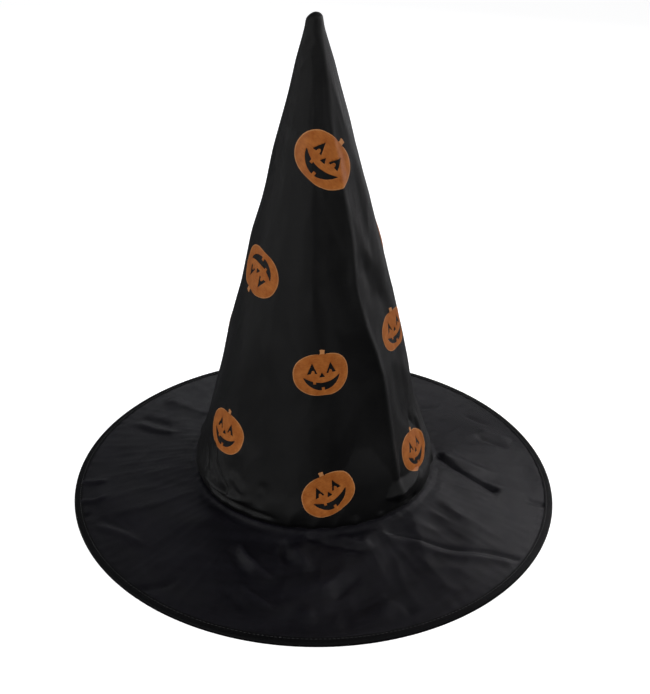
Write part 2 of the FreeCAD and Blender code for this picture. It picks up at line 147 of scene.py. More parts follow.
def add_fold(out, around, across, radius, path, height, width, ends=(0.3, 0.3), kind="soft"):
    """Adds one fold to out: soft is a rounded ridge or hollow, crease a sharp one; ends fade it out."""
    line = np.array(path, float)
    reach = width * (4 if kind == "soft" else 7)
    middle = (line[:, 0].min() + line[:, 0].max()) / 2
    spread = (line[:, 0].max() - line[:, 0].min()) / 2 + np.degrees(reach / np.maximum(radius, 8))
    near = (np.abs(wrap(around - middle)) < spread) & (across > line[:, 1].min() - reach) \
        & (across < line[:, 1].max() + reach)
    if not near.any():
        return
    d, t = along(around[near], across[near], radius[near], path)
    fade = np.ones_like(d)
    if ends[0]:
        fade = fade * smooth(t / ends[0])
    if ends[1]:
        fade = fade * smooth((1 - t) / ends[1])
    if kind == "soft":
        shape = np.exp(-(d / width) ** 2)
    else:
        shape = np.exp(-np.sqrt((d / width) ** 2 + 0.09) + 0.3)
    out[near] += height * fade * shape


def add_flat(out, around, height, radius, edge, spread, strength, heights):
    """Flattens the cloth between two lines up the cone, as a pulled cloth lies flat beside a ridge.

    edge is the crisp line, as (degrees, height) pairs; the other side fades out spread degrees away.
    """
    line = np.array(edge, float)
    order = np.argsort(line[:, 1])
    crisp = np.interp(height, line[order, 1], line[order, 0])
    across = wrap(around - crisp) / spread
    half = math.radians(abs(spread)) / 2
    plane = math.cos(half) / np.cos((across - 0.5) * 2 * half) - 1
    soft_end = smooth((1 - across) / 0.45)
    ends = smooth((height - heights[0]) / 18.0) * smooth((heights[1] - height) / 30.0)
    inside = (across > 0) & (across < 1)
    out += np.where(inside, strength * radius * plane * soft_end * ends, 0.0)


def make_waves(count, turns, pitch, seed):
    """Random shallow waves that close on themselves round the hat."""
    r = np.random.default_rng(seed)
    return [(int(r.integers(turns[0], turns[1] + 1)), 2 * np.pi / r.uniform(*pitch) * r.choice([-1, 1]),
             r.uniform(0, 2 * np.pi), r.uniform(0.5, 1.0)) for _ in range(count)]


def waves(around, across, table):
    """The sum of a table of waves, about -1 to 1."""
    total = np.zeros_like(around)
    for turns, rate, phase, share in table:
        total += share * np.cos(np.radians(around) * turns + across * rate + phase)
    return total / math.sqrt(len(table))


def crumple(around, across, table):
    """A net of soft creases, about -1 to 1, where the waves of a table cross zero."""
    return 0.7 - 1.6 * np.sqrt(waves(around, across, table) ** 2 + 0.012)


CROWN_CRUMPLE = make_waves(10, (2, 9), (70, 200), 41)
BASE_CRUMPLE = make_waves(12, (5, 22), (26, 70), 44)
BRIM_CRUMPLE = make_waves(11, (3, 13), (60, 170), 47)
FINE_CRUMPLE = make_waves(14, (10, 34), (28, 80), 52)
CROWN_SWELL = make_waves(9, (2, 7), (90, 260), 5)
CROWN_RIPPLE = make_waves(16, (8, 26), (25, 80), 8)
SEAM_PUCKER = make_waves(14, (34, 90), (30, 90), 12)
BRIM_SWELL = make_waves(9, (2, 8), (70, 200), 3)
BRIM_RIPPLE = make_waves(18, (9, 34), (24, 70), 9)
EDGE_PUCKER = make_waves(14, (70, 150), (20, 60), 17)

# Folds of the crown: path of (degrees, height), height of the fold and its width, then, where they
# differ from the usual, the share of the path over which each end fades, and the kind.
CROWN_FOLDS = [
    # the long ridge right of the front, and the hollow on its left
    ([(33, 352), (29, 318), (27, 290), (33, 255), (36, 223), (33, 188), (38, 160), (43, 138), (46, 118),
      (46, 88), (45, 50), (44, 24)], 0.9, 3.0, (0.05, 0.0)),
    ([(24, 240), (22, 190), (28, 145), (31, 95), (30, 48)], -0.8, 11.0, (0.3, 0.2)),
    ([(18, 330), (12, 300), (8, 280)], -0.8, 4.5),
    # the small dents right of the ridge
    ([(44, 216), (56, 206), (62, 192)], 0.7, 5.0),
    ([(40, 206), (48, 196), (52, 180), (46, 168)], -0.9, 6.5),
    ([(58, 182), (66, 168), (70, 150)], -0.6, 6.0),
    # below them, the light stretch beside the ridge and the dim one after it
    ([(60, 130), (60, 90), (58, 66)], -1.0, 6.5),
    ([(76, 140), (74, 100), (72, 62)], 0.9, 6.0),
    # near the tip
    ([(-48, 324), (-24, 333), (2, 339)], 0.9, 2.4, (0.2, 0.3), "crease"),
    ([(-44, 334), (-20, 341), (0, 346)], -0.8, 3.0),
    ([(-62, 296), (-44, 290), (-30, 293)], -0.8, 4.5),
    # the soft hollow left of the front
    ([(-31, 150), (-33, 105), (-32, 70), (-27, 48)], -1.1, 8.5, (0.35, 0.3)),
    ([(-47, 165), (-50, 120), (-52, 96)], 0.7, 8.0, (0.35, 0.3)),
    # the tucked cloth at the left of the base
    ([(-62, 60), (-57, 47), (-50, 39), (-41, 31)], -3.2, 2.2, (0.2, 0.1)),
    ([(-56, 58), (-50, 46), (-43, 38), (-36, 32)], 2.0, 4.0, (0.25, 0.2)),
    ([(-27, 50), (-23, 41), (-26, 31)], -1.1, 4.5),
    ([(-66, 34), (-54, 31.5), (-40, 32), (-27, 34)], 3.6, 2.8, (0.25, 0.3)),
    ([(-45, 47), (-37, 41), (-31, 36)], 2.0, 3.6),
    ([(-60, 27), (-50, 25.5), (-38, 26), (-27, 26), (-14, 24.5)], -3.4, 1.9, (0.2, 0.25)),
    ([(-66, 33), (-60, 36), (-54, 33)], 1.4, 2.0, (0.3, 0.3), "crease"),
    ([(-62, 43), (-56, 38)], 0.9, 1.8, (0.3, 0.3), "crease"),
    ([(-70, 50), (-64, 40), (-60, 30)], -1.2, 1.8),
    # the three-cornered fold at the right of the base
    ([(32, 31), (42, 34), (54, 36), (66, 42)], 3.4, 2.8, (0.25, 0.3), "crease"),
    ([(22, 29), (33, 27), (44, 24.5), (58, 23)], -2.8, 2.2, (0.3, 0.2)),
    ([(40, 42), (52, 44), (60, 52)], -1.3, 3.0),
    # a deep upright wrinkle through the right low print
    ([(69, 80), (70, 62), (67, 47), (62, 38)], -2.0, 1.9, (0.3, 0.2)),
    ([(76, 78), (77, 60), (76, 40)], 1.5, 3.0, (0.3, 0.2)),
    # the side and back, of the same kind
    ([(104, 230), (108, 170), (101, 120), (106, 70)], 1.3, 8.0, (0.2, 0.25), "crease"),
    ([(118, 200), (122, 150), (117, 100)], -1.2, 9.0),
    ([(146, 262), (150, 215), (143, 178)], 1.0, 6.0, (0.3, 0.3), "crease"),
    ([(98, 36), (112, 30), (128, 27)], -2.2, 2.4),
    ([(104, 44), (118, 38), (134, 36)], 1.7, 2.8, (0.3, 0.3), "crease"),
    ([(150, 60), (144, 42), (148, 28)], -1.5, 3.0, (0.3, 0.1)),
    ([(-96, 240), (-101, 180), (-95, 130), (-99, 84)], 1.2, 8.0, (0.25, 0.3), "crease"),
    ([(-84, 150), (-82, 110), (-86, 66)], -0.9, 8.0),
    ([(-128, 250), (-134, 200), (-126, 150)], -1.2, 8.0),
    ([(-92, 30), (-104, 34), (-118, 30)], 1.8, 2.4, (0.3, 0.3), "crease"),
    ([(-96, 25), (-108, 26), (-120, 24)], -2.2, 2.0),
    ([(-150, 58), (-144, 40), (-150, 26)], -1.4, 3.0, (0.3, 0.1)),
    ([(170, 320), (172, 290), (166, 262)], 0.8, 3.5, (0.3, 0.3), "crease"),
]

# The long ridge right of the front, as (degrees, height), and flats of the crown: crisp edge, degrees
# to the soft edge, strength, lowest and highest place.
RIDGE = [(31, 352), (28, 318), (26, 298), (30, 268), (35, 223), (33, 190), (37, 160), (42, 141), (45, 120),
         (45, 88), (44, 42), (43, 19)]
CROWN_FLATS = [
    (RIDGE, -38, 1.05, (18, 300)),
    (RIDGE, 44, 0.7, (30, 280)),
    ([(104, 300), (108, 160), (102, 30)], -26, 1.0, (40, 300)),
    ([(104, 300), (108, 160), (102, 30)], 36, 1.2, (30, 290)),
    ([(150, 300), (156, 150), (150, 30)], 28, 0.8, (60, 280)),
    ([(-94, 300), (-99, 150), (-95, 30)], -34, 1.2, (40, 300)),
    ([(-140, 300), (-136, 160), (-144, 30)], -30, 1.0, (30, 270)),
    ([(-48, 260), (-52, 160), (-50, 80)], 24, 0.5, (60, 260)),
]

# Folds of the brim: path of (degrees, radius) and the same values.
BRIM_FOLDS = [
    ([(95, 97), (90, 106), (85, 118), (81, 136), (78.5, 150)], -3.0, 3.2, (0.1, 0.12)),
    ([(98, 100), (94, 112), (90, 128), (87, 146)], 1.7, 5.5, (0.2, 0.3)),
    ([(84, 104), (80, 120), (76, 138), (73, 152)], 1.3, 4.8, (0.2, 0.3)),
    ([(28, 102), (36, 111), (42, 128), (46, 143), (52, 162), (55.5, 184)], -1.3, 1.4, (0.15, 0.05), "crease"),
    ([(26, 106), (34, 116), (40, 132), (44, 147), (50, 164), (54, 183)], 0.9, 3.6, (0.2, 0.1)),
    ([(110, 142), (106, 155), (102, 168)], -2.3, 3.9),
    ([(114, 150), (110, 162), (106, 175)], 1.7, 4.3),
    ([(124, 152), (119, 160), (114, 170)], -1.7, 3.4),
    ([(79, 166), (78, 174), (78, 185)], -1.3, 2.6, (0.35, 0.0)),
    ([(64, 108), (60, 124), (62, 140)], 1.3, 6.1),
    ([(-113, 172), (-110, 145), (-107, 116)], 1.7, 4.1, (0.25, 0.3)),
    ([(-116, 172), (-114, 150), (-112, 128)], -1.3, 5.5, (0.25, 0.3)),
    ([(-128, 176), (-127, 146), (-125, 110)], 2.0, 7.2, (0.2, 0.2)),
    ([(-66, 180), (-62, 170), (-57, 162), (-49, 156)], 1.4, 2.6, (0.2, 0.3)),
    ([(-68, 174), (-62, 163), (-56, 156)], -1.3, 3.9, (0.2, 0.3)),
    ([(-84, 185), (-83, 174), (-83, 162)], 1.3, 2.3, (0.0, 0.4)),
    ([(-76, 185), (-75, 174), (-76, 162)], 1.3, 2.4, (0.0, 0.4)),
    ([(-70, 185), (-70, 177)], -1.0, 2.4, (0.0, 0.5)),
    ([(-40, 185), (-36, 172), (-34, 158)], -0.9, 2.9, (0.0, 0.4)),
    ([(-27, 112), (-24, 121), (-17, 130), (-9, 140)], 2.3, 2.9, (0.25, 0.3), "crease"),
    ([(-29, 120), (-24, 130), (-16, 140)], -1.7, 3.9, (0.25, 0.3)),
    ([(-20, 146), (-15, 154), (-7, 165)], 1.7, 2.6, (0.3, 0.3), "crease"),
    ([(-24, 152), (-18, 162), (-12, 172)], -1.3, 3.6),
    ([(-7, 106), (-4, 116), (1, 130)], 2.5, 4.8, (0.3, 0.35)),
    ([(-12, 102), (-10, 114), (-6, 126)], -2.0, 3.2, (0.2, 0.35)),
    ([(-3, 98), (6, 105), (14, 112), (22, 120)], -2.3, 3.6, (0.1, 0.35)),
    ([(10, 100), (17, 108), (24, 115)], 1.3, 3.4, (0.2, 0.35)),
    ([(2, 147), (6, 138), (11, 128)], 1.4, 2.6, (0.3, 0.3), "crease"),
    ([(5, 152), (10, 142), (15, 134)], -1.3, 3.6),
    ([(-4, 162), (2, 168), (9, 175)], 1.7, 6.1),
    ([(18, 150), (22, 164), (24, 178)], -0.9, 4.2),
    ([(150, 100), (146, 118), (150, 138)], -2.3, 3.9, (0.1, 0.35)),
    ([(158, 104), (156, 124), (160, 150)], 1.7, 4.8, (0.2, 0.35)),
    ([(-160, 98), (-156, 120), (-160, 146)], -2.0, 4.3, (0.1, 0.35)),
    ([(-148, 120), (-146, 142), (-150, 168)], 1.4, 3.9, (0.3, 0.3), "crease"),
    ([(176, 140), (172, 158), (176, 180)], 1.3, 4.1, (0.3, 0.2)),
    ([(134, 110), (130, 134), (134, 160)], 1.3, 4.1, (0.3, 0.3), "crease"),
]


def cone_radius(height):
    """The crown's radius at a height: upright from the seam, then the cone, with a soft shoulder."""
    above = height - shoulder
    eased = 0.5 * (above + np.sqrt(above * above + 9.0))
    return seam_radius + CROWN_EASE - taper * (eased - 1.2 * np.exp(-np.maximum(above, 0) / 40.0))


def laid_crown(around, height):
    """The listed folds: how far the crown's cloth stands out from the plain cone, in millimetres."""
    radius = np.maximum(cone_radius(height), TIP_RADIUS)
    high = height * cone_stretch
    out = np.zeros_like(around)
    for path, rise, width, *rest in CROWN_FOLDS:
        laid = [(a, z * cone_stretch) for a, z in path]
        add_fold(out, around, high, radius, laid, rise, width, *rest)
    for edge, spread, strength, heights in CROWN_FLATS:
        add_flat(out, around, height, radius, edge, spread, strength, heights)
    room = smooth((radius - TIP_RADIUS) / 25.0)
    out -= 1.1 * smooth((height - 285) / 40.0) * smooth((crown_top - height) / 12.0)
    out -= 0.9 * np.exp(-((height - 85) / 38.0) ** 2)
    out += 0.45 * waves(around, height, CROWN_SWELL) * room * smooth((height - seam_height - 8) / 50)
    out += 0.12 * waves(around, height, CROWN_RIPPLE) * room
    out += 0.45 * crumple(around, height, CROWN_CRUMPLE) * room
    base = np.exp(-np.maximum(height - seam_height - 6, 0) / 17.0)
    out += (1.0 * base + 0.10) * crumple(around, height, BASE_CRUMPLE) * room
    return out


def crown_depth(around, height):
    """The crown's folds with the seams' puckers, kept clear of the headband inside."""
    out = laid_crown(around, height)
    above_seam = height - seam_height
    pucker = waves(around, height, SEAM_PUCKER)
    out += 0.16 * pucker * np.exp(-above_seam / 7.0) * smooth(above_seam / 2.0)
    # the seam pulls the cloth in just above the brim, and it swells out again over it
    out += -1.2 * np.exp(-(above_seam / 2.4) ** 2) + 0.7 * np.exp(-((above_seam - 12) / 8.0) ** 2)
    deepest = -1.5 - 9.0 * smooth((height - band_top) / 60.0)
    out = np.where(out < deepest, deepest + 0.15 * np.tanh((out - deepest) / 2.0), out)
    # the sewn back seam: a narrow groove between two puckered edges
    across = wrap(around - 180) * np.pi / 180 * np.maximum(cone_radius(height), TIP_RADIUS)
    ripple = 0.16 * np.cos(height * 2 * np.pi / 7.3 + 1.7 * np.sin(height / 31.0))
    out += (-0.75 * np.exp(-(across / 0.8) ** 2) + 0.35 * np.exp(-((np.abs(across) - 2.4) / 1.8) ** 2)
            + ripple * np.exp(-(across / 6.0) ** 2))
    return out


def crown_point(around, height, inside=0.0):
    """Places on the crown, in metres; inside is a distance into the cloth."""
    radius = cone_radius(height) + crown_depth(around, height)
    radius = radius * (1 - TIP_PINCH * smooth((height - crown_top + 34) / 34.0))
    cap = np.clip((height - (crown_top - TIP_ROUNDING)) / TIP_ROUNDING, 0, 1)
    radius = np.maximum(radius * np.sqrt(np.maximum(1 - cap ** 2, 0)) - inside, 0.02)
    return spun(around, radius, height, inside * (cap > 0.5))


def spun(around, radius, height, drop=0.0):
    """Round positions in metres, with the crown's lean."""
    a = np.radians(around)
    share = np.clip((height - seam_height) / (crown_top - seam_height), 0, 1)
    lean = LEAN_AT_TIP * share ** LEAN_GROWTH
    tip = smooth((share - 0.965) / 0.035)
    low_side = TIP_SLANT * tip * np.clip(1 - (radius * np.sin(a) + 1.0) / TIP_RADIUS, 0, 2)
    raised = height + TIP_RISE * smooth((height - crown_top + 70) / 70.0) - drop - low_side
    return np.stack([radius * np.sin(a) + lean, -radius * np.cos(a), raised], axis=-1) * MM


def laid_brim(around, radius):
    """The listed folds: how far the brim stands above its plain cone, in millimetres."""
    out = np.zeros_like(around)
    for path, rise, width, *rest in BRIM_FOLDS:
        add_fold(out, around, radius, np.maximum(radius, 60), path, rise, width, *rest)
    inner = radius - seam_radius
    outer = brim_edge - TAPE_WIDTH - radius
    free = smooth((inner + 1) / 14.0) * smooth(outer / 16.0)
    calm = 1 - 0.6 * np.exp(-(wrap(around + 75) / 45.0) ** 2)
    out += (1.1 * waves(around, radius, BRIM_SWELL) + 0.18 * waves(around, radius, BRIM_RIPPLE)
            + (0.85 * crumple(around, radius, BRIM_CRUMPLE)
               + 0.35 * crumple(around, radius, FINE_CRUMPLE)) * calm) * free
    return out


def brim_rise(around, radius):
    """The brim's folds once settled, with the puckers of its two seams."""
    out = laid_brim(around, radius)
    if "brim" in settled:
        out += SETTLED_SHARE * settled["brim"](around, radius)
    inner = radius - seam_radius
    outer = brim_edge - TAPE_WIDTH - radius
    pucker = waves(around, radius, SEAM_PUCKER)
    out += 0.14 * pucker * np.exp(-np.maximum(inner, 0) / 7.0) * smooth((inner + 0.5) / 3.0)
    edge = waves(around, radius, EDGE_PUCKER)
    out += 0.17 * edge * np.exp(-np.maximum(outer, 0) / 5.0) * smooth((outer + 3.0) / 3.0)
    # the rolled seam round the crown, fullest at the left of the front
    fullness = 0.10 + 1.2 * np.exp(-(wrap(around + 33) / 20.0) ** 2) \
        + 0.4 * np.exp(-(wrap(around - 55) / 22.0) ** 2) + 0.12 * waves(around, radius * 0, SEAM_PUCKER[:6])
    out += fullness * np.exp(-((inner - 2.0) / 1.7) ** 2) - 0.5 * np.exp(-((inner - 6.0) / 3.0) ** 2)
    return out * smooth((brim_edge - 1.5 - radius) / 6.0)


def brim_point(around, radius, below=0.0):
    """Places on the brim, in metres; below is a depth under its top."""
    height = seam_height - slope * (radius - brim_inner) + brim_rise(around, radius) - below
    a = np.radians(around)
    return np.stack([radius * np.sin(a), -radius * np.cos(a), height], axis=-1) * MM


# ---------------------------------------------------------------- settling the cloth

settled = {}
SETTLED_SHARE = 0.22


def run_cloth(name, points, held, spare, frames):
    """Lets a closed grid of places move as cloth with a little spare length, held where asked."""
    rows, columns = points.shape[:2]
    obj = add_mesh(name, points.reshape(-1, 3), grid_faces(rows, columns))
    group = obj.vertex_groups.new(name="held")
    for row in range(rows):
        if held[row] > 0:
            group.add(list(range(row * columns, (row + 1) * columns)), float(held[row]), "REPLACE")
    cloth = obj.modifiers.new("cloth", "CLOTH")
    cloth.settings.quality = 6
    cloth.settings.mass = 0.15
    cloth.settings.air_damping = 1.0
    cloth.settings.tension_stiffness = 20
    cloth.settings.compression_stiffness = 20
    cloth.settings.shear_stiffness = 8
    cloth.settings.bending_stiffness = 0.5
    cloth.settings.shrink_min = -spare
    cloth.settings.vertex_group_mass = "held"
    cloth.settings.effector_weights.gravity = 0.2
    cloth.point_cache.frame_end = frames
    for frame_number in range(1, frames + 1):
        bpy.context.scene.frame_set(frame_number)
    moved = obj.evaluated_get(bpy.context.evaluated_depsgraph_get()).data
    co = np.zeros(len(moved.vertices) * 3)
    moved.vertices.foreach_get("co", co)
    bpy.data.objects.remove(obj)
    bpy.context.scene.frame_set(1)
    return co.reshape(rows, columns, 3) / MM


def looked_up(table, levels):
    """A function that reads a table of rows (levels) and columns (round the hat) smoothly."""
    columns = table.shape[1]

    def read(around, level):
        x = (np.asarray(around) + 180.0) % 360.0 / 360.0 * columns
        y = np.interp(level, levels, np.arange(len(levels)))
        i, j = np.floor(y).astype(int), np.floor(x).astype(int) % columns
        fy, fx = y - np.floor(y), x - np.floor(x)
        k, below = (j + 1) % columns, np.minimum(i + 1, len(levels) - 1)
        return (table[i, j] * (1 - fx) + table[i, k] * fx) * (1 - fy) \
            + (table[below, j] * (1 - fx) + table[below, k] * fx) * fy

    return read


def settle():
    """Cloth simulation of the brim from its listed folds."""
    columns = 288
    levels = np.linspace(seam_radius + 1, brim_edge - TAPE_WIDTH, 42)
    a, r = np.meshgrid(ring_angles(columns), levels)
    rest = brim_point(a, r)[:, :, 2] / MM - brim_rise(a, r)
    start = ring_at(a, r, rest + laid_brim(a, r))
    held = smooth((seam_radius + 4 - levels) / 3) + smooth((levels - brim_edge + TAPE_WIDTH + 5) / 4)
    moved = run_cloth("brim_cloth", start, held, 0.006, 12)
    settled["brim"] = looked_up(moved[:, :, 2] - start[:, :, 2] / MM, levels)


# ---------------------------------------------------------------- meshes

def add_mesh(name, vertices, faces, uvs=None):
    """A smooth-shaded mesh object; uvs gives each vertex a place on the flat cloth, in metres."""
    mesh = bpy.data.meshes.new(name)
    mesh.from_pydata(np.asarray(vertices).tolist(), [], faces.tolist()
                     if isinstance(faces, np.ndarray) else faces)
    mesh.update()
    mesh.polygons.foreach_set("use_smooth", np.ones(len(mesh.polygons), bool))
    if uvs is not None:
        layer = mesh.uv_layers.new(name="cloth")
        loops = np.zeros(len(mesh.loops), int)
        mesh.loops.foreach_get("vertex_index", loops)
        layer.data.foreach_set("uv", np.asarray(uvs, float)[loops].ravel())
    obj = bpy.data.objects.new(name, mesh)
    bpy.context.scene.collection.objects.link(obj)
    return obj


def grid_faces(rows, columns, start=0, flip=False, closed=True):
    """Quads of a grid whose columns close on themselves round the hat."""
    i, j = np.meshgrid(np.arange(rows - 1), np.arange(columns if closed else columns - 1), indexing="ij")
    k = (j + 1) % columns
    quads = np.stack([i * columns + j, i * columns + k, (i + 1) * columns + k, (i + 1) * columns + j], -1)
    quads = quads.reshape(-1, 4) + start
    return quads[:, ::-1] if flip else quads


def round_sheet(name, outer, inner, columns, uv_rows):
    """A closed sheet from two nested grids of rows round the hat."""
    path = np.concatenate([outer, inner[::-1]], axis=0)
    vertices = path.reshape(-1, 3)
    faces = grid_faces(len(path), columns)
    last = (len(path) - 1) * columns
    j = np.arange(columns)
    k = (j + 1) % columns
    seal = np.stack([last + j, last + k, k, j], -1)
    faces = np.concatenate([faces, seal])
    around = np.linspace(0, 1, columns, endpoint=False)
    width = np.concatenate([uv_rows, uv_rows[::-1]])
    girth = 2 * np.pi * np.hypot(path[:, :, 0], path[:, :, 1]).mean(axis=1)
    uvs = np.stack([np.broadcast_to(around, (len(path), columns)) * girth[:, None],
                    np.broadcast_to(width[:, None], (len(path), columns))], -1).reshape(-1, 2)
    obj = add_mesh(name, vertices, faces, uvs)
    tidy_normals(obj)
    return obj


def tidy_normals(obj):
    """Outward normals on a closed mesh."""
    bm = bmesh.new()
    bm.from_mesh(obj.data)
    bmesh.ops.recalc_face_normals(bm, faces=bm.faces)
    bm.to_mesh(obj.data)
    bm.free()


AROUND = 600


def ring_angles(columns):
    """Degrees of the columns, beginning at the back seam."""
    return np.linspace(-180, 180, columns, endpoint=False)


def crown_grid(heights, inside, columns):
    """Rows of places on the crown."""
    a, z = np.meshgrid(ring_angles(columns), heights)
    return crown_point(a, z, inside)


def brim_grid(radii, below, columns):
    """Rows of places on the brim."""
    a, r = np.meshgrid(ring_angles(columns), radii)
    return brim_point(a, r, below)


def crown_rows(top, step):
    """Heights up the crown, closer together at the seam."""
    near = np.arange(crown_base, crown_base + 30, step * 0.6)
    far = np.arange(crown_base + 30, top, step)
    return np.concatenate([near, far, [top]])


def make_crown():
    """The satin cone: outer face, rounded tip and inner face, with its folded lower edge."""
    step = 1.5
    heights = crown_rows(crown_top - TIP_ROUNDING, step)
    cap = crown_top - TIP_ROUNDING * (1 - np.sin(np.linspace(0.12, 1.0, CAP_ROWS) * np.pi / 2))
    heights = np.concatenate([heights, cap])
    outer = crown_grid(heights, 0.0, AROUND)
    inner = crown_grid(heights, CLOTH, AROUND)
    inner[-CAP_ROWS:, :, 2] -= np.linspace(0, CLOTH, CAP_ROWS)[:, None] * MM
    hem_a, hem_t = np.meshgrid(ring_angles(AROUND), np.linspace(0, 1, 5))
    hem_radius = seam_radius - 1.2 - HEM_DEPTH * hem_t * 0.6
    hem = spun(hem_a, hem_radius, crown_base + 0.15 * np.sin(hem_t * np.pi))[::-1]
    outer = np.concatenate([hem[:-1], outer])
    inner = np.concatenate([hem[:-1] + np.array([0, 0, CLOTH * MM]), inner])
    slant = np.concatenate([[-0.003, -0.002, -0.001, -0.0005], (heights - crown_base) * cone_stretch * MM])
    return round_sheet("crown_fabric_satin", outer, inner, AROUND, slant)


def make_crown_stiffener():
    """The non-woven cone inside the satin."""
    step = 1.8
    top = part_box("crown_stiffener")[1].z / MM
    heights = crown_rows(top, step) + 0.4
    columns = AROUND // 2
    away = (CLOTH + LAYER_GAP + 0.5 * smooth((heights - band_top) / 12.0))[:, None]
    outer = crown_grid(heights, away, columns)
    inner = crown_grid(heights, away + CORE, columns)
    return round_sheet("crown_stiffener_felt", outer, inner, columns, heights * MM)


def make_back_seam():
    """The two sewn edges inside the crown, a pair of wavy strips side by side."""
    low, top = band_top + 3, crown_top - 60
    rows = np.linspace(low, top, 130)
    pieces, faces = [], []
    for side in (-1, 1):
        depths = np.linspace(1.2, 6.6, 7)
        z, d = np.meshgrid(rows, depths, indexing="ij")
        wall = cone_radius(z) - d
        sway = 0.12 * np.sin(z / 6.1 + side) * (d / 6.6) + side * (0.32 + 0.10 * (d / 6.6) ** 2)
        for thick in (-0.2, 0.2):
            share = np.clip((z - seam_height) / (crown_top - seam_height), 0, 1)
            x = sway + thick * side + LEAN_AT_TIP * share ** LEAN_GROWTH
            start = len(pieces) * rows.size * depths.size
            pieces.append(np.stack([x, wall, z], -1).reshape(-1, 3) * MM)
            faces.append(grid_faces(rows.size, depths.size, start, closed=False))
    vertices = np.concatenate(pieces)
    quads = [np.concatenate(faces)]
    per = rows.size * depths.size
    for pair in (0, 2):
        rim = rim_loop(rows.size, depths.size)
        a, b = rim + pair * per, rim + (pair + 1) * per
        quads.append(np.stack([a, np.roll(a, -1), np.roll(b, -1), b], -1))
    obj = add_mesh("back_seam_edges", vertices, np.concatenate(quads), vertices[:, [1, 2]])
    tidy_normals(obj)
    return obj


def rim_loop(rows, columns):
    """Indices round the border of an open grid."""
    index = np.arange(rows * columns).reshape(rows, columns)
    return np.concatenate([index[0, :-1], index[:-1, -1], index[-1, :0:-1], index[:0:-1, 0]])


def make_brim_sheet(name, top_depth, bottom_depth, columns, step):
    """One layer of the brim with its inner edge turned up inside the crown."""
    radii = np.concatenate([np.arange(brim_inner, brim_inner + 16, step * 0.55),
                            np.arange(brim_inner + 16, brim_end, step), [brim_end]])
    outer = brim_grid(radii, top_depth, columns)
    inner = brim_grid(radii, bottom_depth, columns)
    a = ring_angles(columns)
    up = np.linspace(4.5, 0.6, 5)
    flange_out = np.stack([ring_at(a, brim_inner - top_depth - 0.02, outer[0, :, 2] / MM + h) for h in up])
    flange_in = np.stack([ring_at(a, brim_inner - bottom_depth, outer[0, :, 2] / MM + h) for h in up])
    flat = np.concatenate([-up, radii - brim_inner]) * MM
    corner = bottom_depth - top_depth
    inner[0] = ring_at(a, brim_inner - bottom_depth, outer[0, :, 2] / MM - corner)
    return round_sheet(name, np.concatenate([flange_out, outer]), np.concatenate([flange_in, inner]),
                       columns, flat)


def ring_at(around, radius, height):
    """One row of places round the hat."""
    a = np.radians(around)
    return np.stack([radius * np.sin(a), -radius * np.cos(a), height + 0 * a], -1) * MM


def binding_section():
    """Outer and inner outlines of the folded tape, from its top lap round the wire to its lower lap."""
    lap_end = brim_edge - TAPE_WIDTH
    centre_r, centre_z = edge_middle
    turn = np.radians(np.linspace(90, -90, 19))
    outline = []
    for bulge in (0.0, CLOTH):
        half_in = STACK / 2 + LAYER_GAP + bulge
        channel = edge_middle[1] - CLOTH + bulge
        laps = []
        for sign in (1, -1):
            r = np.linspace(lap_end, centre_r, 12, endpoint=False)
            t = (r - lap_end) / (centre_r - lap_end)
            z = centre_z + slope * (centre_r - r) + sign * (half_in + (channel - half_in) * smooth(t))
            laps.append(np.stack([r, z], -1))
        arc = np.stack([centre_r + channel * np.cos(turn), centre_z + channel * np.sin(turn)], -1)
        outline.append(np.concatenate([laps[0], arc, laps[1][::-1]]))
    return outline[1], outline[0]


def make_binding():
    """Satin tape folded round the edge; its top lap is drawn in a little at each stitch."""
    outer, inner = binding_section()
    columns = 1200
    a = ring_angles(columns)
    stitch = np.cos(np.radians(a) * STITCHES_ROUND)
    uneven = waves(a, a * 0, EDGE_PUCKER[:8])
    rows = []
    for section, face in ((outer, 1), (inner, 0)):
        grid = []
        for r, z in section:
            near = math.exp(-((r - STITCH_RADIUS) / 1.1) ** 2)
            sign = 1 if z > edge_middle[1] + slope * (edge_middle[0] - r) else -1
            lip = math.exp(-((r - section[0, 0]) / 0.8) ** 2)
            lift = sign * face * (-0.10 * near * (0.6 + 0.4 * stitch) + 0.10 * lip * uneven)
            swollen = r > SWELL_FROM
            swell = 0.12 * face * uneven * math.exp(-((r - edge_middle[0]) / 2.5) ** 2) if swollen else 0.0
            grid.append(ring_at(a, r - abs(swell) * 0.5, z + lift))
        rows.append(np.stack(grid))
    steps = np.hypot(*np.diff(outer, axis=0).T)
    flat = np.concatenate([[0], np.cumsum(steps)]) * MM
    return round_sheet("brim_binding_tape", rows[0], rows[1], columns, flat)


def make_headband():
    """Ribbed ribbon inside the opening, its upper edge slightly wavy."""
    a = ring_angles(AROUND)
    heights = np.concatenate([np.linspace(band_low, shoulder, 7), np.linspace(shoulder + 1, band_top, 22)])
    rows = {0: [], 1: []}
    for z in heights:
        t = max(z - shoulder, 0) / (band_top - shoulder)
        wavy = 0.45 * t ** 2 * waves(a, a * 0, CROWN_RIPPLE)
        for face in (0, 1):
            radius = HEAD_RADIUS + face * BAND_THICKNESS - taper * max(z - shoulder, 0)
            edge = 0.25 * (1 - min(1.0, (band_top - z) / 1.0)) * (1 - 2 * face)
            rows[face].append(ring_at(a, radius + wavy + edge, z))
    outer, inner = np.stack(rows[1]), np.stack(rows[0])
    return round_sheet("headband_ribbon", outer, inner, AROUND, (heights - band_low) * MM)


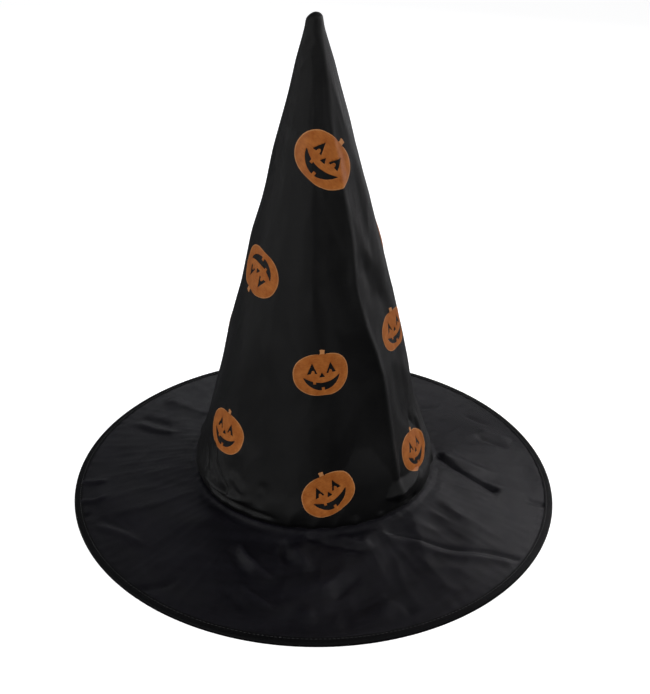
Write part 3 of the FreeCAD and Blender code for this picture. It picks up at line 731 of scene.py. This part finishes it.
def tube_strands(name, strands, radius, sides=6):
    """Short closed tubes along lists of points: threads and stitches."""
    vertices, faces = [], []
    turn = np.linspace(0, 2 * np.pi, sides, endpoint=False)
    for points, up in strands:
        points = np.asarray(points, float)
        start = len(vertices)
        tangent = np.gradient(points, axis=0)
        tangent /= np.linalg.norm(tangent, axis=1)[:, None]
        side = np.cross(tangent, up)
        side /= np.linalg.norm(side, axis=1)[:, None]
        lift = np.cross(side, tangent)
        count = len(points)
        for i in range(count):
            end = 0.45 if i in (0, count - 1) else 1.0
            section = np.cos(turn)[:, None] * side[i] + np.sin(turn)[:, None] * lift[i]
            vertices.extend(points[i] + radius * end * section)
        faces.extend(grid_faces(count, sides, start).tolist())
        faces.append([start + j for j in range(sides)][::-1])
        faces.append([start + (count - 1) * sides + j for j in range(sides)])
    return add_mesh(name, vertices, faces)


def stitch_row(name, count, place, length_share, lift, radius, sides=6):
    """A row of stitches: place(t, rise) gives a point and an outward direction for t from 0 to 1."""
    strands = []
    for i in range(count):
        t = (i + 0.5 + 0.06 * math.sin(i * 12.9898)) / count
        half = 0.5 * length_share / count
        points = []
        for s in np.linspace(-1, 1, 7):
            rise = lift * (1 - s * s) ** 0.7 - 0.12
            points.append(place(t + s * half, rise)[0])
        strands.append((points, place(t, 0)[1]))
    return tube_strands(name, strands, radius * MM, sides)


def lap_height(face):
    """Height of the tape's face at the stitch row."""
    outer, _ = binding_section()
    half = outer[:15] if face > 0 else outer[::-1][:15]
    return float(np.interp(STITCH_RADIUS, half[:, 0], half[:, 1]))


def ring_place(radius, height, inward=0.0, upward=0.0):
    """Where the stitches of a row round the hat lie, rising inward or upward by a share of their rise."""
    def place(t, rise):
        a = 2 * np.pi * t
        r = radius - inward * rise
        point = Vector((r * math.sin(a), -r * math.cos(a), height + upward * rise))
        facing = Vector((0, 0, upward)) if upward else Vector((-math.sin(a), math.cos(a), 0))
        return point * MM, facing

    return place


def make_stitches():
    """Every row of sewing, each stitch a short thread that dips into the cloth at both ends."""
    made = {}
    for face, side in ((1, "top"), (-1, "under")):
        on_tape = ring_place(STITCH_RADIUS, lap_height(face) - face * 0.1, upward=face)
        made[f"binding_thread_{side}"] = stitch_row(f"binding_stitches_{side}", STITCHES_ROUND, on_tape,
                                                    0.74, 0.2, 0.14)
    on_band = ring_place(HEAD_RADIUS - 0.02, band_low + 1.0, inward=1.0)
    made["headband_thread"] = stitch_row("headband_stitches", 190, on_band, 0.74, 0.22, 0.14)
    on_seam = ring_place(HEAD_RADIUS + BAND_THICKNESS + 0.2, seam_height + 3.1, inward=0.3)
    made["crown_seam_thread"] = stitch_row("crown_seam_stitches", 170, on_seam, 0.8, 0.12, 0.12)
    low, top = band_top + 6, crown_top - 63

    def on_back(t, rise):
        z = low + (top - low) * t
        share = (z - seam_height) / (crown_top - seam_height)
        x = 0.62 + rise + LEAN_AT_TIP * share ** LEAN_GROWTH
        return Vector((x, float(cone_radius(np.array(z))) - 4.2, z)) * MM, Vector((1, 0, 0))

    made["back_seam_thread"] = stitch_row("back_seam_stitches", 82, on_back, 0.72, 0.2, 0.14)
    return made


# ---------------------------------------------------------------- printed pumpkins

# Print: name, degrees round, height of the middle, turn, and its size where it is not the usual.
PRINTS = [
    ("front_top", 12, 273, -45, 1.13),
    ("left_upper", -54, 193, 160, 1.08),
    ("right_middle", 72, 145, 6),
    ("front_middle", 4.5, 132, 3, 1.04),
    ("left_low", -54.5, 72, 0, 1.06),
    ("right_low", 64.5, 52, -6),
    ("front_low", 7.5, 46, 24, 1.03),
    ("back_top", -168, 272, 25, 1.13),
    ("right_upper", 112, 210, 170),
    ("back_upper", -160, 198, -35),
    ("left_middle", -110, 132, 35),
    ("back_left_middle", -172, 124, 200),
    ("back_right_middle", 133, 124, -15),
    ("back_right_low", 120, 51, 40),
    ("back_low", 180, 48, -10),
    ("back_left_low", -118, 52, 185),
]

PRINT_HALF_WIDTH = 19.6
PRINT_HALF_HEIGHT = 14.6
PRINT_ROUNDNESS = 2.25
PRINT_LIFT = 0.06
PRINT_FILM = 0.12
PRINT_CELL = 1.0


def pumpkin_outline():
    """The round, slightly ribbed outline with a stem, counter-clockwise, in millimetres."""
    t = np.radians(np.linspace(0, 360, 150, endpoint=False))
    top_dent = 0.035 * np.exp(-((np.degrees(t) - 90) / 13) ** 2)
    dent = 1 - top_dent - 0.02 * np.exp(-((np.degrees(t) - 270) / 16) ** 2)
    c, s = np.cos(t), np.sin(t)
    x = PRINT_HALF_WIDTH * np.sign(c) * np.abs(c) ** (2 / PRINT_ROUNDNESS) * dent
    y = PRINT_HALF_HEIGHT * np.sign(s) * np.abs(s) ** (2 / PRINT_ROUNDNESS) * dent
    stem = [(2.9, 13.4), (2.6, 14.6), (2.9, 16.6), (0.6, 17.1), (-0.6, 16.9), (-0.3, 14.9), (-1.2, 13.6)]
    body = list(zip(x, y))
    keep = [p for p in body if not (-1.6 < p[0] < 3.2 and p[1] > 12)]
    first = next(i for i, p in enumerate(keep) if p[1] > 12 and p[0] < -1.5)
    return keep[:first] + stem + keep[first:]


def pumpkin_holes():
    """Eyes, nose and grin: triangular eyes with a round notch, a small nose, teeth in the grin."""
    holes = []
    for side in (-1, 1):
        cx, cy = side * 6.4, 3.6
        notch = [(cx + 1.3 * math.cos(q) - side * 0.5, cy - 2.7 + 2.3 * math.sin(q))
                 for q in np.radians(np.linspace(0, 180, 9))]
        holes.append([(cx + 3.4, cy - 2.9)] + [(cx - side * 0.3, cy + 4.6)] + [(cx - 3.4, cy - 2.9)]
                     + notch[::-1])
    holes.append([(-1.9, -1.8), (2.0, -1.7), (0.1, 1.6)])
    lower, upper = [], []
    for t in np.linspace(-1, 1, 33):
        x = 12.6 * t
        lower.append((x, -1.6 - 9.2 * (1 - t * t) ** 0.7))
        upper.append((x, -1.3 - 4.2 * (1 - t * t)))
    upper = with_tooth(upper, -5.2, 1.9, -1.7)
    lower = with_tooth(lower, 0.4, 2.0, 2.0)
    holes.append(lower + upper[::-1][1:-1])
    return holes


def with_tooth(line, centre, width, rise):
    """A line of the grin with a square tooth standing from it."""
    near = min(line, key=lambda p: abs(p[0] - centre))[1]
    left = [p for p in line if p[0] < centre - width / 2 - 0.1]
    right = [p for p in line if p[0] > centre + width / 2 + 0.1]
    tooth = [(centre - width / 2, near), (centre - width / 2, near + rise),
             (centre + width / 2, near + rise), (centre + width / 2, near)]
    return left + tooth + right


def flat_pumpkin():
    """The print as a flat mesh, cut into small cells so that it can follow the cloth."""
    curve = bpy.data.curves.new("pumpkin_flat", "CURVE")
    curve.dimensions = "2D"
    curve.fill_mode = "BOTH"
    for loop in [pumpkin_outline()] + pumpkin_holes():
        spline = curve.splines.new("POLY")
        spline.points.add(len(loop) - 1)
        for point, (x, y) in zip(spline.points, loop):
            point.co = (x, y, 0, 1)
        spline.use_cyclic_u = True
    holder = bpy.data.objects.new("pumpkin_flat", curve)
    bpy.context.scene.collection.objects.link(holder)
    mesh = bpy.data.meshes.new_from_object(holder.evaluated_get(bpy.context.evaluated_depsgraph_get()))
    bpy.data.objects.remove(holder)
    bm = bmesh.new()
    bm.from_mesh(mesh)
    bmesh.ops.remove_doubles(bm, verts=bm.verts, dist=0.005)
    for axis in (0, 1):
        for level in np.arange(-22, 22, PRINT_CELL):
            normal = Vector((1, 0, 0)) if axis == 0 else Vector((0, 1, 0))
            geometry = bm.verts[:] + bm.edges[:] + bm.faces[:]
            bmesh.ops.bisect_plane(bm, geom=geometry, plane_co=normal * level, plane_no=normal, dist=0.001)
    bmesh.ops.triangulate(bm, faces=bm.faces[:])
    bmesh.ops.dissolve_degenerate(bm, dist=0.002, edges=bm.edges[:])
    for face in bm.faces:
        if face.normal.z < 0:
            face.normal_flip()
    flat = bpy.data.meshes.new("pumpkin_cells")
    bm.to_mesh(flat)
    bm.free()
    return flat


def make_print(flat, name, around, height, turn, size=1.0):
    """One print laid on the crown's own folds, a thin film with a rounded edge."""
    count = len(flat.vertices)
    co = np.zeros(count * 3)
    flat.vertices.foreach_get("co", co)
    co = co.reshape(-1, 3)[:, :2] * size
    q = math.radians(turn)
    u = co[:, 0] * math.cos(q) - co[:, 1] * math.sin(q)
    v = co[:, 0] * math.sin(q) + co[:, 1] * math.cos(q)
    start = cone_radius(np.array(float(height))) * cone_stretch / taper
    distance = start - v
    a = around + np.degrees(np.arctan2(u, distance) * cone_stretch / taper)
    z = height + (start - np.hypot(u, distance)) / cone_stretch
    layers = [crown_point(a, z, -(PRINT_LIFT + PRINT_FILM)), crown_point(a, z, -PRINT_LIFT)]
    faces = [list(p.vertices) for p in flat.polygons]
    bottom = [[i + count for i in reversed(f)] for f in faces]
    edges = {(i, j): True for f in faces for i, j in zip(f, f[1:] + f[:1])}
    rim = [[j, i, i + count, j + count] for i, j in edges if (j, i) not in edges]
    uvs = np.concatenate([co, co]) * MM / size
    return add_mesh(f"pumpkin_print_{name}_film", np.concatenate(layers), faces + bottom + rim, uvs)


# ---------------------------------------------------------------- care label

def make_label():
    """A blank woven label, a little curled, turned over at both ends."""
    low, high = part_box("care_label")
    lean = math.atan(taper)
    width, height = 21.6, 29.6
    origin = Vector((low.x, high.y, low.z))
    columns, rows = 34, 44
    x, z = np.meshgrid(np.linspace(0, width, columns), np.linspace(0, height, rows))
    curl = -0.9 * (x / width) ** 2 * (0.4 + 0.6 * np.cos(z / height * np.pi)) + 0.12 * np.sin(z / 3.1)
    hem = 0.22 * (smooth((2.4 - z) / 0.6) + smooth((z - height + 2.4) / 0.6))
    layers = []
    for face in (-1, 1):
        n = curl + face * (0.13 + hem * 0.5)
        px = x + origin.x / MM
        py = origin.y / MM - 0.15 - z * math.sin(lean) + n * math.cos(lean)
        pz = origin.z / MM + 0.1 + z * math.cos(lean) + n * math.sin(lean)
        layers.append(np.stack([px, py, pz], -1).reshape(-1, 3) * MM)
    per = rows * columns
    rim = rim_loop(rows, columns)
    quads = np.concatenate([grid_faces(rows, columns, 0, closed=False),
                            grid_faces(rows, columns, per, flip=True, closed=False),
                            np.stack([rim, np.roll(rim, -1), np.roll(rim, -1) + per, rim + per], -1)])
    uvs = np.tile(np.stack([x, z], -1).reshape(-1, 2) * MM, (2, 1))
    label = add_mesh("care_label_tape", np.concatenate(layers), quads, uvs)
    tidy_normals(label)

    def on_label(t, rise):
        zz = 1.5 + (height - 3) * t
        flat_curl = 0.12 * math.sin(zz / 3.1)
        n = flat_curl - 0.26 - rise
        y = origin.y / MM - 0.15 - zz * math.sin(lean) + n * math.cos(lean)
        zp = origin.z / MM + 0.1 + zz * math.cos(lean) + n * math.sin(lean)
        return Vector((origin.x / MM + 2.1, y, zp)) * MM, Vector((0, -1, 0))

    stitches = stitch_row("care_label_stitches", 11, on_label, 0.7, 0.2, 0.14)
    return label, stitches


# ---------------------------------------------------------------- materials

# A wave texture of this scale has its lines a metre apart.
LINES = 0.314


def new_material(name):
    """An empty node material with its principled shader."""
    material = bpy.data.materials.new(name)
    material.use_nodes = True
    tree = material.node_tree
    tree.nodes.clear()
    output = tree.nodes.new("ShaderNodeOutputMaterial")
    shader = tree.nodes.new("ShaderNodeBsdfPrincipled")
    tree.links.new(shader.outputs[0], output.inputs[0])
    return material, tree, shader


def feed(tree, socket, given):
    """Links or sets one input of a node."""
    if isinstance(given, bpy.types.NodeSocket):
        tree.links.new(given, socket)
    else:
        socket.default_value = given


def node(tree, kind, settings=None, **inputs):
    """A shader node with its settings, and its inputs set or linked."""
    made = tree.nodes.new(kind)
    for name, setting in (settings or {}).items():
        setattr(made, name, setting)
    for name, given in inputs.items():
        feed(tree, made.inputs[name], given)
    return made


def mapped(tree, coordinates, scale, rotation=0.0):
    """Cloth coordinates, scaled and turned."""
    return node(tree, "ShaderNodeMapping", Vector=coordinates, Scale=scale,
                Rotation=(0, 0, rotation)).outputs[0]


def ramp(tree, factor, low, high, from_min=0.3, from_max=0.7):
    """A number taken from one range to another."""
    made = node(tree, "ShaderNodeMapRange", Value=factor)
    limits = {"From Min": from_min, "From Max": from_max, "To Min": low, "To Max": high}
    for name, limit in limits.items():
        made.inputs[name].default_value = limit
    return made.outputs[0]


def noise(tree, place, scale, detail, roughness=0.5, distortion=0.0):
    """Clouds of noise, from 0 to 1."""
    return node(tree, "ShaderNodeTexNoise", Vector=place, Scale=scale, Detail=detail,
                Roughness=roughness, Distortion=distortion).outputs[0]


def drawn_noise(tree, cloth, scale, detail):
    """Noise drawn out along the cloth; scale has a number for each direction."""
    return noise(tree, mapped(tree, cloth, (*scale, 1)), 1.0, detail)


def bands(tree, place, scale, distortion, direction="X"):
    """Soft parallel lines; LINES / pitch is the scale for lines a pitch apart."""
    return node(tree, "ShaderNodeTexWave", {"wave_type": "BANDS", "bands_direction": direction},
                Vector=place, Scale=scale, Distortion=distortion, Detail=1.0).outputs["Fac"]


def surface(tree, shader, base, roughness, relief, strength, distance):
    """Links the colour, the roughness and the fine relief to the shader."""
    tree.links.new(base, shader.inputs["Base Color"])
    tree.links.new(roughness, shader.inputs["Roughness"])
    bump = node(tree, "ShaderNodeBump", Height=relief, Strength=strength, Distance=distance)
    tree.links.new(bump.outputs[0], shader.inputs["Normal"])


def colour_mix(tree, factor, first, second):
    """Two colours mixed by a factor; either may be a socket."""
    made = node(tree, "ShaderNodeMix", {"data_type": "RGBA"})
    sockets = [s for s in made.inputs if s.type == "RGBA"]
    tree.links.new(factor, made.inputs[0])
    for socket, given in zip(sockets, (first, second)):
        feed(tree, socket, given if isinstance(given, bpy.types.NodeSocket) else (*given, 1))
    return [s for s in made.outputs if s.type == "RGBA"][0]


def add(tree, first, second, operation="ADD"):
    """Arithmetic on two numbers."""
    made = node(tree, "ShaderNodeMath", {"operation": operation})
    for socket, given in zip(made.inputs, (first, second)):
        feed(tree, socket, given)
    return made.outputs[0]


def cloth_coordinates(tree, use_uv=True):
    """Places on the flat cloth, or in the piece's own space, in metres."""
    if use_uv:
        return node(tree, "ShaderNodeUVMap", {"uv_map": "cloth"}).outputs[0]
    return node(tree, "ShaderNodeTexCoord").outputs["Object"]


def satin(name, dark, light, roughness, sheen, weave=0.00042, bump_height=0.00010, specular=0.5):
    """Black polyester satin: fine twill lines, slubs along the weft, patchy gloss."""
    material, tree, shader = new_material(name)
    cloth = cloth_coordinates(tree)
    patches = noise(tree, cloth, 28.0, 4.0, 0.55)
    slubs = drawn_noise(tree, cloth, (60, 1400), 3.0)
    warp = drawn_noise(tree, cloth, (1500, 50), 2.0)
    twill = bands(tree, mapped(tree, cloth, (1, 1, 1), math.radians(38)), LINES / weave, 0.4)
    # The colour is mixed up to halfway towards a lighter shade on sharp outward ridges and crease tops.
    convexity = node(tree, "ShaderNodeNewGeometry").outputs["Pointiness"]
    edges = ramp(tree, convexity, 0.0, 1.0, 0.505, 0.56)
    shade = ramp(tree, add(tree, patches, slubs), 0.0, 1.0, 0.8, 1.25)
    lighter = tuple(min(1.0, c * 2.2 + 0.004) for c in light)
    base = colour_mix(tree, shade, dark, light)
    base = colour_mix(tree, add(tree, edges, 0.5, "MULTIPLY"), base, lighter)
    mottle = add(tree, add(tree, patches, slubs), warp)
    gloss = ramp(tree, mottle, roughness - 0.05, roughness + 0.06, 1.2, 1.8)
    heights = add(tree, add(tree, twill, 0.55, "MULTIPLY"), add(tree, slubs, warp))
    surface(tree, shader, base, gloss, heights, 0.6, bump_height)
    shader.inputs["Sheen Weight"].default_value = sheen
    shader.inputs["Sheen Roughness"].default_value = 0.35
    shader.inputs["Sheen Tint"].default_value = (0.82, 0.78, 0.95, 1)
    shader.inputs["Specular IOR Level"].default_value = specular
    return material


def felt(name, colour, other):
    """Non-woven stiffener: short random fibres pressed together, with a bonding pattern."""
    material, tree, shader = new_material(name)
    place = cloth_coordinates(tree, use_uv=False)
    fibres = noise(tree, place, 900.0, 6.0, 0.7, 2.5)
    clouds = noise(tree, place, 70.0, 4.0)
    dots = node(tree, "ShaderNodeTexVoronoi", {"feature": "F1"}, Vector=place, Scale=480.0,
                Randomness=0.25).outputs["Distance"]
    pressed = ramp(tree, dots, 0.0, 1.0, 0.12, 0.3)
    base = colour_mix(tree, ramp(tree, add(tree, fibres, clouds), 0, 1, 0.8, 1.25), colour, other)
    surface(tree, shader, base, ramp(tree, fibres, 0.78, 0.95), add(tree, fibres, pressed), 0.5, 0.00025)
    shader.inputs["Sheen Weight"].default_value = 0.3
    shader.inputs["Sheen Roughness"].default_value = 0.6
    return material


def ribbon(name, dark, light, rib=0.0011):
    """Grosgrain ribbon: upright ribs with a soft gloss."""
    material, tree, shader = new_material(name)
    cloth = cloth_coordinates(tree)
    ribs = bands(tree, cloth, LINES / rib, 0.15)
    fibres = drawn_noise(tree, cloth, (300, 3500), 3.0)
    base = colour_mix(tree, add(tree, ribs, fibres, "MULTIPLY"), dark, light)
    relief = add(tree, ribs, add(tree, fibres, 0.3, "MULTIPLY"))
    surface(tree, shader, base, ramp(tree, fibres, 0.5, 0.7), relief, 0.8, 0.0003)
    shader.inputs["Sheen Weight"].default_value = 0.25
    return material


def thread_material(name, dark, light):
    """Spun thread with a slanting twist."""
    material, tree, shader = new_material(name)
    twist = bands(tree, cloth_coordinates(tree, use_uv=False), 900.0, 1.0, "DIAGONAL")
    gloss = ramp(tree, twist, 0.45, 0.62, 0.0, 1.0)
    surface(tree, shader, colour_mix(tree, twist, dark, light), gloss, twist, 0.6, 0.00008)
    shader.inputs["Sheen Weight"].default_value = 0.2
    return material


def print_material(name):
    """Orange screen print on satin: uneven ink, the weave showing through, a lighter rim of ink."""
    material, tree, shader = new_material(name)
    cloth = cloth_coordinates(tree)
    blotch = noise(tree, cloth, 160.0, 4.0, 0.6)
    streaks = drawn_noise(tree, cloth, (240, 1500), 3.0)
    grain = noise(tree, cloth, 1600.0, 2.0)
    ink = colour_mix(tree, ramp(tree, blotch, 0, 1, 0.35, 0.65), (0.30, 0.085, 0.016), (0.42, 0.140, 0.030))
    ink = colour_mix(tree, ramp(tree, streaks, 0, 0.45, 0.45, 0.75), ink, (0.17, 0.045, 0.009))
    ink = colour_mix(tree, rim_of_ink(tree, cloth), ink, (0.50, 0.23, 0.09))
    ink = colour_mix(tree, ramp(tree, grain, 0.0, 0.5, 0.62, 0.72), ink, (0.06, 0.02, 0.008))
    gloss = ramp(tree, add(tree, blotch, streaks), 0.42, 0.56, 0.8, 1.2)
    surface(tree, shader, ink, gloss, add(tree, grain, streaks), 0.4, 0.00006)
    shader.inputs["Specular IOR Level"].default_value = 0.12
    return material


def rim_of_ink(tree, cloth):
    """1 near the pumpkin's outline and 0 inside it."""
    parts = node(tree, "ShaderNodeSeparateXYZ", Vector=cloth)
    shares = []
    for output, half in ((parts.outputs[0], PRINT_HALF_WIDTH), (parts.outputs[1], PRINT_HALF_HEIGHT)):
        share = add(tree, add(tree, output, half * MM, "DIVIDE"), 0.0, "ABSOLUTE")
        shares.append(add(tree, share, PRINT_ROUNDNESS, "POWER"))
    return ramp(tree, add(tree, *shares), 0.0, 0.8, 0.90, 0.96)


def metal(name, colour, roughness):
    """Drawn or crimped metal with fine scratches."""
    material, tree, shader = new_material(name)
    place = cloth_coordinates(tree, use_uv=False)
    scratches = noise(tree, place, 600.0, 4.0)
    base = colour_mix(tree, scratches, tuple(c * 0.7 for c in colour), colour)
    tree.links.new(base, shader.inputs["Base Color"])
    tree.links.new(ramp(tree, scratches, roughness - 0.08, roughness + 0.12), shader.inputs["Roughness"])
    shader.inputs["Metallic"].default_value = 1.0
    return material


def label_material(name):
    """White woven tape with a fine plain weave."""
    material, tree, shader = new_material(name)
    cloth = cloth_coordinates(tree)
    warp, weft = [bands(tree, cloth, LINES / 0.0005, 0.2, axis) for axis in ("X", "Y")]
    weave = add(tree, warp, weft, "MULTIPLY")
    cloud = noise(tree, cloth, 300.0, 3.0)
    base = colour_mix(tree, add(tree, weave, cloud), (0.62, 0.60, 0.56), (0.80, 0.79, 0.76))
    surface(tree, shader, base, ramp(tree, cloud, 0.6, 0.75), weave, 0.5, 0.0001)
    return material


def dress(obj, material):
    """Give an object one material."""
    obj.data.materials.clear()
    obj.data.materials.append(material)


# ---------------------------------------------------------------- camera, floor and light

CAMERA_DISTANCE = 0.750
CAMERA_ELEVATION = 28.19
CAMERA_AIM = Vector((0.0066, 0.0, 0.1187))
CAMERA_LENS = 51.4
CAMERA_ROLL = 1.1


def make_camera():
    """The camera, above and in front of the hat, rolled a little clockwise."""
    data = bpy.data.cameras.new("camera")
    data.lens = CAMERA_LENS
    data.sensor_width = 36
    data.clip_start = 0.01
    camera = bpy.data.objects.new("camera", data)
    bpy.context.scene.collection.objects.link(camera)
    e = math.radians(CAMERA_ELEVATION)
    back = Vector((0, -math.cos(e), math.sin(e)))
    turn = back.to_track_quat("Z", "Y").to_matrix() @ Matrix.Rotation(math.radians(CAMERA_ROLL), 3, "Z")
    camera.matrix_world = Matrix.Translation(CAMERA_AIM + back * CAMERA_DISTANCE) @ turn.to_4x4()
    bpy.context.scene.camera = camera


def make_light(name, place, aim, size, energy, colour=(1, 1, 1)):
    """A soft rectangular light."""
    data = bpy.data.lights.new(name, "AREA")
    data.shape = "RECTANGLE"
    data.size, data.size_y = size
    data.energy = energy
    data.color = colour
    light = bpy.data.objects.new(name, data)
    bpy.context.scene.collection.objects.link(light)
    light.location = place
    light.rotation_euler = (Vector(aim) - Vector(place)).to_track_quat("-Z", "Y").to_euler()


FLOOR_REACH = 12.0
FLOOR_BEND = 10.0
FLOOR_GAP = 0.0004
FLOOR_SIDES = 48


def make_studio():
    """A plain pale floor that curves up far away, a dim room and soft lights."""
    bend = np.radians(np.linspace(0, 90, 10))
    reach = np.concatenate([[0.01, 1.0, 4.0], FLOOR_REACH + FLOOR_BEND * np.sin(bend)])
    rise = np.concatenate([[0, 0, 0], FLOOR_BEND * (1 - np.cos(bend))]) - FLOOR_GAP
    rows = [ring_at(ring_angles(FLOOR_SIDES), r / MM, z / MM) for r, z in zip(reach, rise)]
    floor = add_mesh("floor", np.concatenate(rows), grid_faces(len(rows), FLOOR_SIDES))
    material, _, shader = new_material("pale_floor")
    shader.inputs["Base Color"].default_value = (0.6, 0.6, 0.6, 1)
    shader.inputs["Roughness"].default_value = 0.9
    shader.inputs["Emission Color"].default_value = (1, 1, 1, 1)
    shader.inputs["Emission Strength"].default_value = 0.90
    dress(floor, material)
    floor.visible_diffuse = False
    floor.visible_glossy = False
    world = bpy.data.worlds.new("room")
    bpy.context.scene.world = world
    world.use_nodes = True
    background = world.node_tree.nodes["Background"]
    background.inputs[0].default_value = (0.9, 0.92, 1.0, 1)
    background.inputs[1].default_value = 0.09
    make_light("right", (1.2, 0.6, 0.45), (0, 0, 0.06), (1.2, 0.6), 11, (1.0, 0.98, 1.0))
    make_light("left_front", (-1.0, -1.2, 0.8), (0, 0, 0.2), (0.9, 0.8), 13)
    make_light("overhead", (0.7, -0.6, 1.1), (0, 0, 0.0), (0.9, 0.9), 8)
    make_light("back", (0.6, 1.7, 0.9), (0, 0, 0.0), (1.2, 0.6), 4, (1.0, 0.98, 1.0))
    make_light("left_back", (-0.4, 1.7, 0.5), (0, 0, 0.05), (0.6, 0.5), 1.2, (0.96, 0.97, 1.0))
    make_light("left_edge", (-1.7, 0.3, 0.5), (0, 0, 0.2), (0.6, 0.8), 6.5)
    bpy.context.scene.view_settings.view_transform = "Standard"


# ---------------------------------------------------------------- making the hat

settle()
make_camera()
make_studio()

crown_satin = satin("crown_satin", (0.0018, 0.0018, 0.0019), (0.0040, 0.0040, 0.0041), 0.50, 0.0,
                    specular=0.16)
brim_satin = satin("brim_satin", (0.0022, 0.0020, 0.0032), (0.0056, 0.0052, 0.0078), 0.43, 0.0, specular=0.14)
tape_satin = satin("tape_satin", (0.0018, 0.0018, 0.0021), (0.0032, 0.0032, 0.0037), 0.50, 0.0, specular=0.06)
lining = satin("lining_cloth", (0.006, 0.0058, 0.0065), (0.011, 0.0108, 0.012), 0.6, 0.15, 0.0006, 0.0001)
stiff_felt = felt("stiffener_felt", (0.018, 0.018, 0.02), (0.04, 0.04, 0.044))
band_ribbon = ribbon("headband_ribbon", (0.006, 0.006, 0.0068), (0.02, 0.02, 0.022))
black_thread = thread_material("black_thread", (0.006, 0.006, 0.007), (0.016, 0.016, 0.018))
orange_print = print_material("orange_print")
hoop_steel = metal("hoop_steel", (0.56, 0.56, 0.58), 0.32)
crimp_metal = metal("crimp_aluminium", (0.7, 0.7, 0.72), 0.38)
woven_label = label_material("woven_label")


def finish_piece(piece, cad_node, material, body="hat"):
    """Dress a piece, hang it on its body and let it stand for its CAD node."""
    dress(piece, material)
    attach(piece, body)
    if cad_node:
        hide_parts(cad_node)


crown = make_crown()
finish_piece(crown, "crown_fabric", crown_satin)

stiffener = make_crown_stiffener()
finish_piece(stiffener, "crown_stiffener", stiff_felt)
seam_edges = make_back_seam()
finish_piece(seam_edges, None, stiff_felt)

cell = 1.6
layers = [
    ("brim_top_satin", 0.0, CLOTH, "brim_top_fabric", "brim_satin", brim_satin, cell),
    ("brim_stiffener_felt", CLOTH + LAYER_GAP, CLOTH + LAYER_GAP + CORE, "brim_stiffener", "stiffener",
     stiff_felt, cell * 1.6),
    ("brim_underside_cloth", STACK - CLOTH, STACK, "brim_underside_fabric", "brim_lining", lining, cell),
]
for name, top_depth, bottom_depth, cad_node, slot, material, step in layers:
    sheet = make_brim_sheet(name, top_depth, bottom_depth, AROUND, step)
    finish_piece(sheet, cad_node, material)

binding = make_binding()
finish_piece(binding, "brim_binding", tape_satin)

band = make_headband()
finish_piece(band, "headband", band_ribbon)

for cad_node, stitches in make_stitches().items():
    finish_piece(stitches, cad_node, black_thread)

pumpkin = flat_pumpkin()
for printed in PRINTS:
    film = make_print(pumpkin, *printed)
    finish_piece(film, f"pumpkin_print_{printed[0]}", orange_print)

label, label_stitches = make_label()
finish_piece(label, "care_label", woven_label, "care_label")
finish_piece(label_stitches, "care_label_thread", black_thread, "care_label")

dress(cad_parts["brim_edge_wire"], hoop_steel)
dress(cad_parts["wire_ferrule"], crimp_metal)
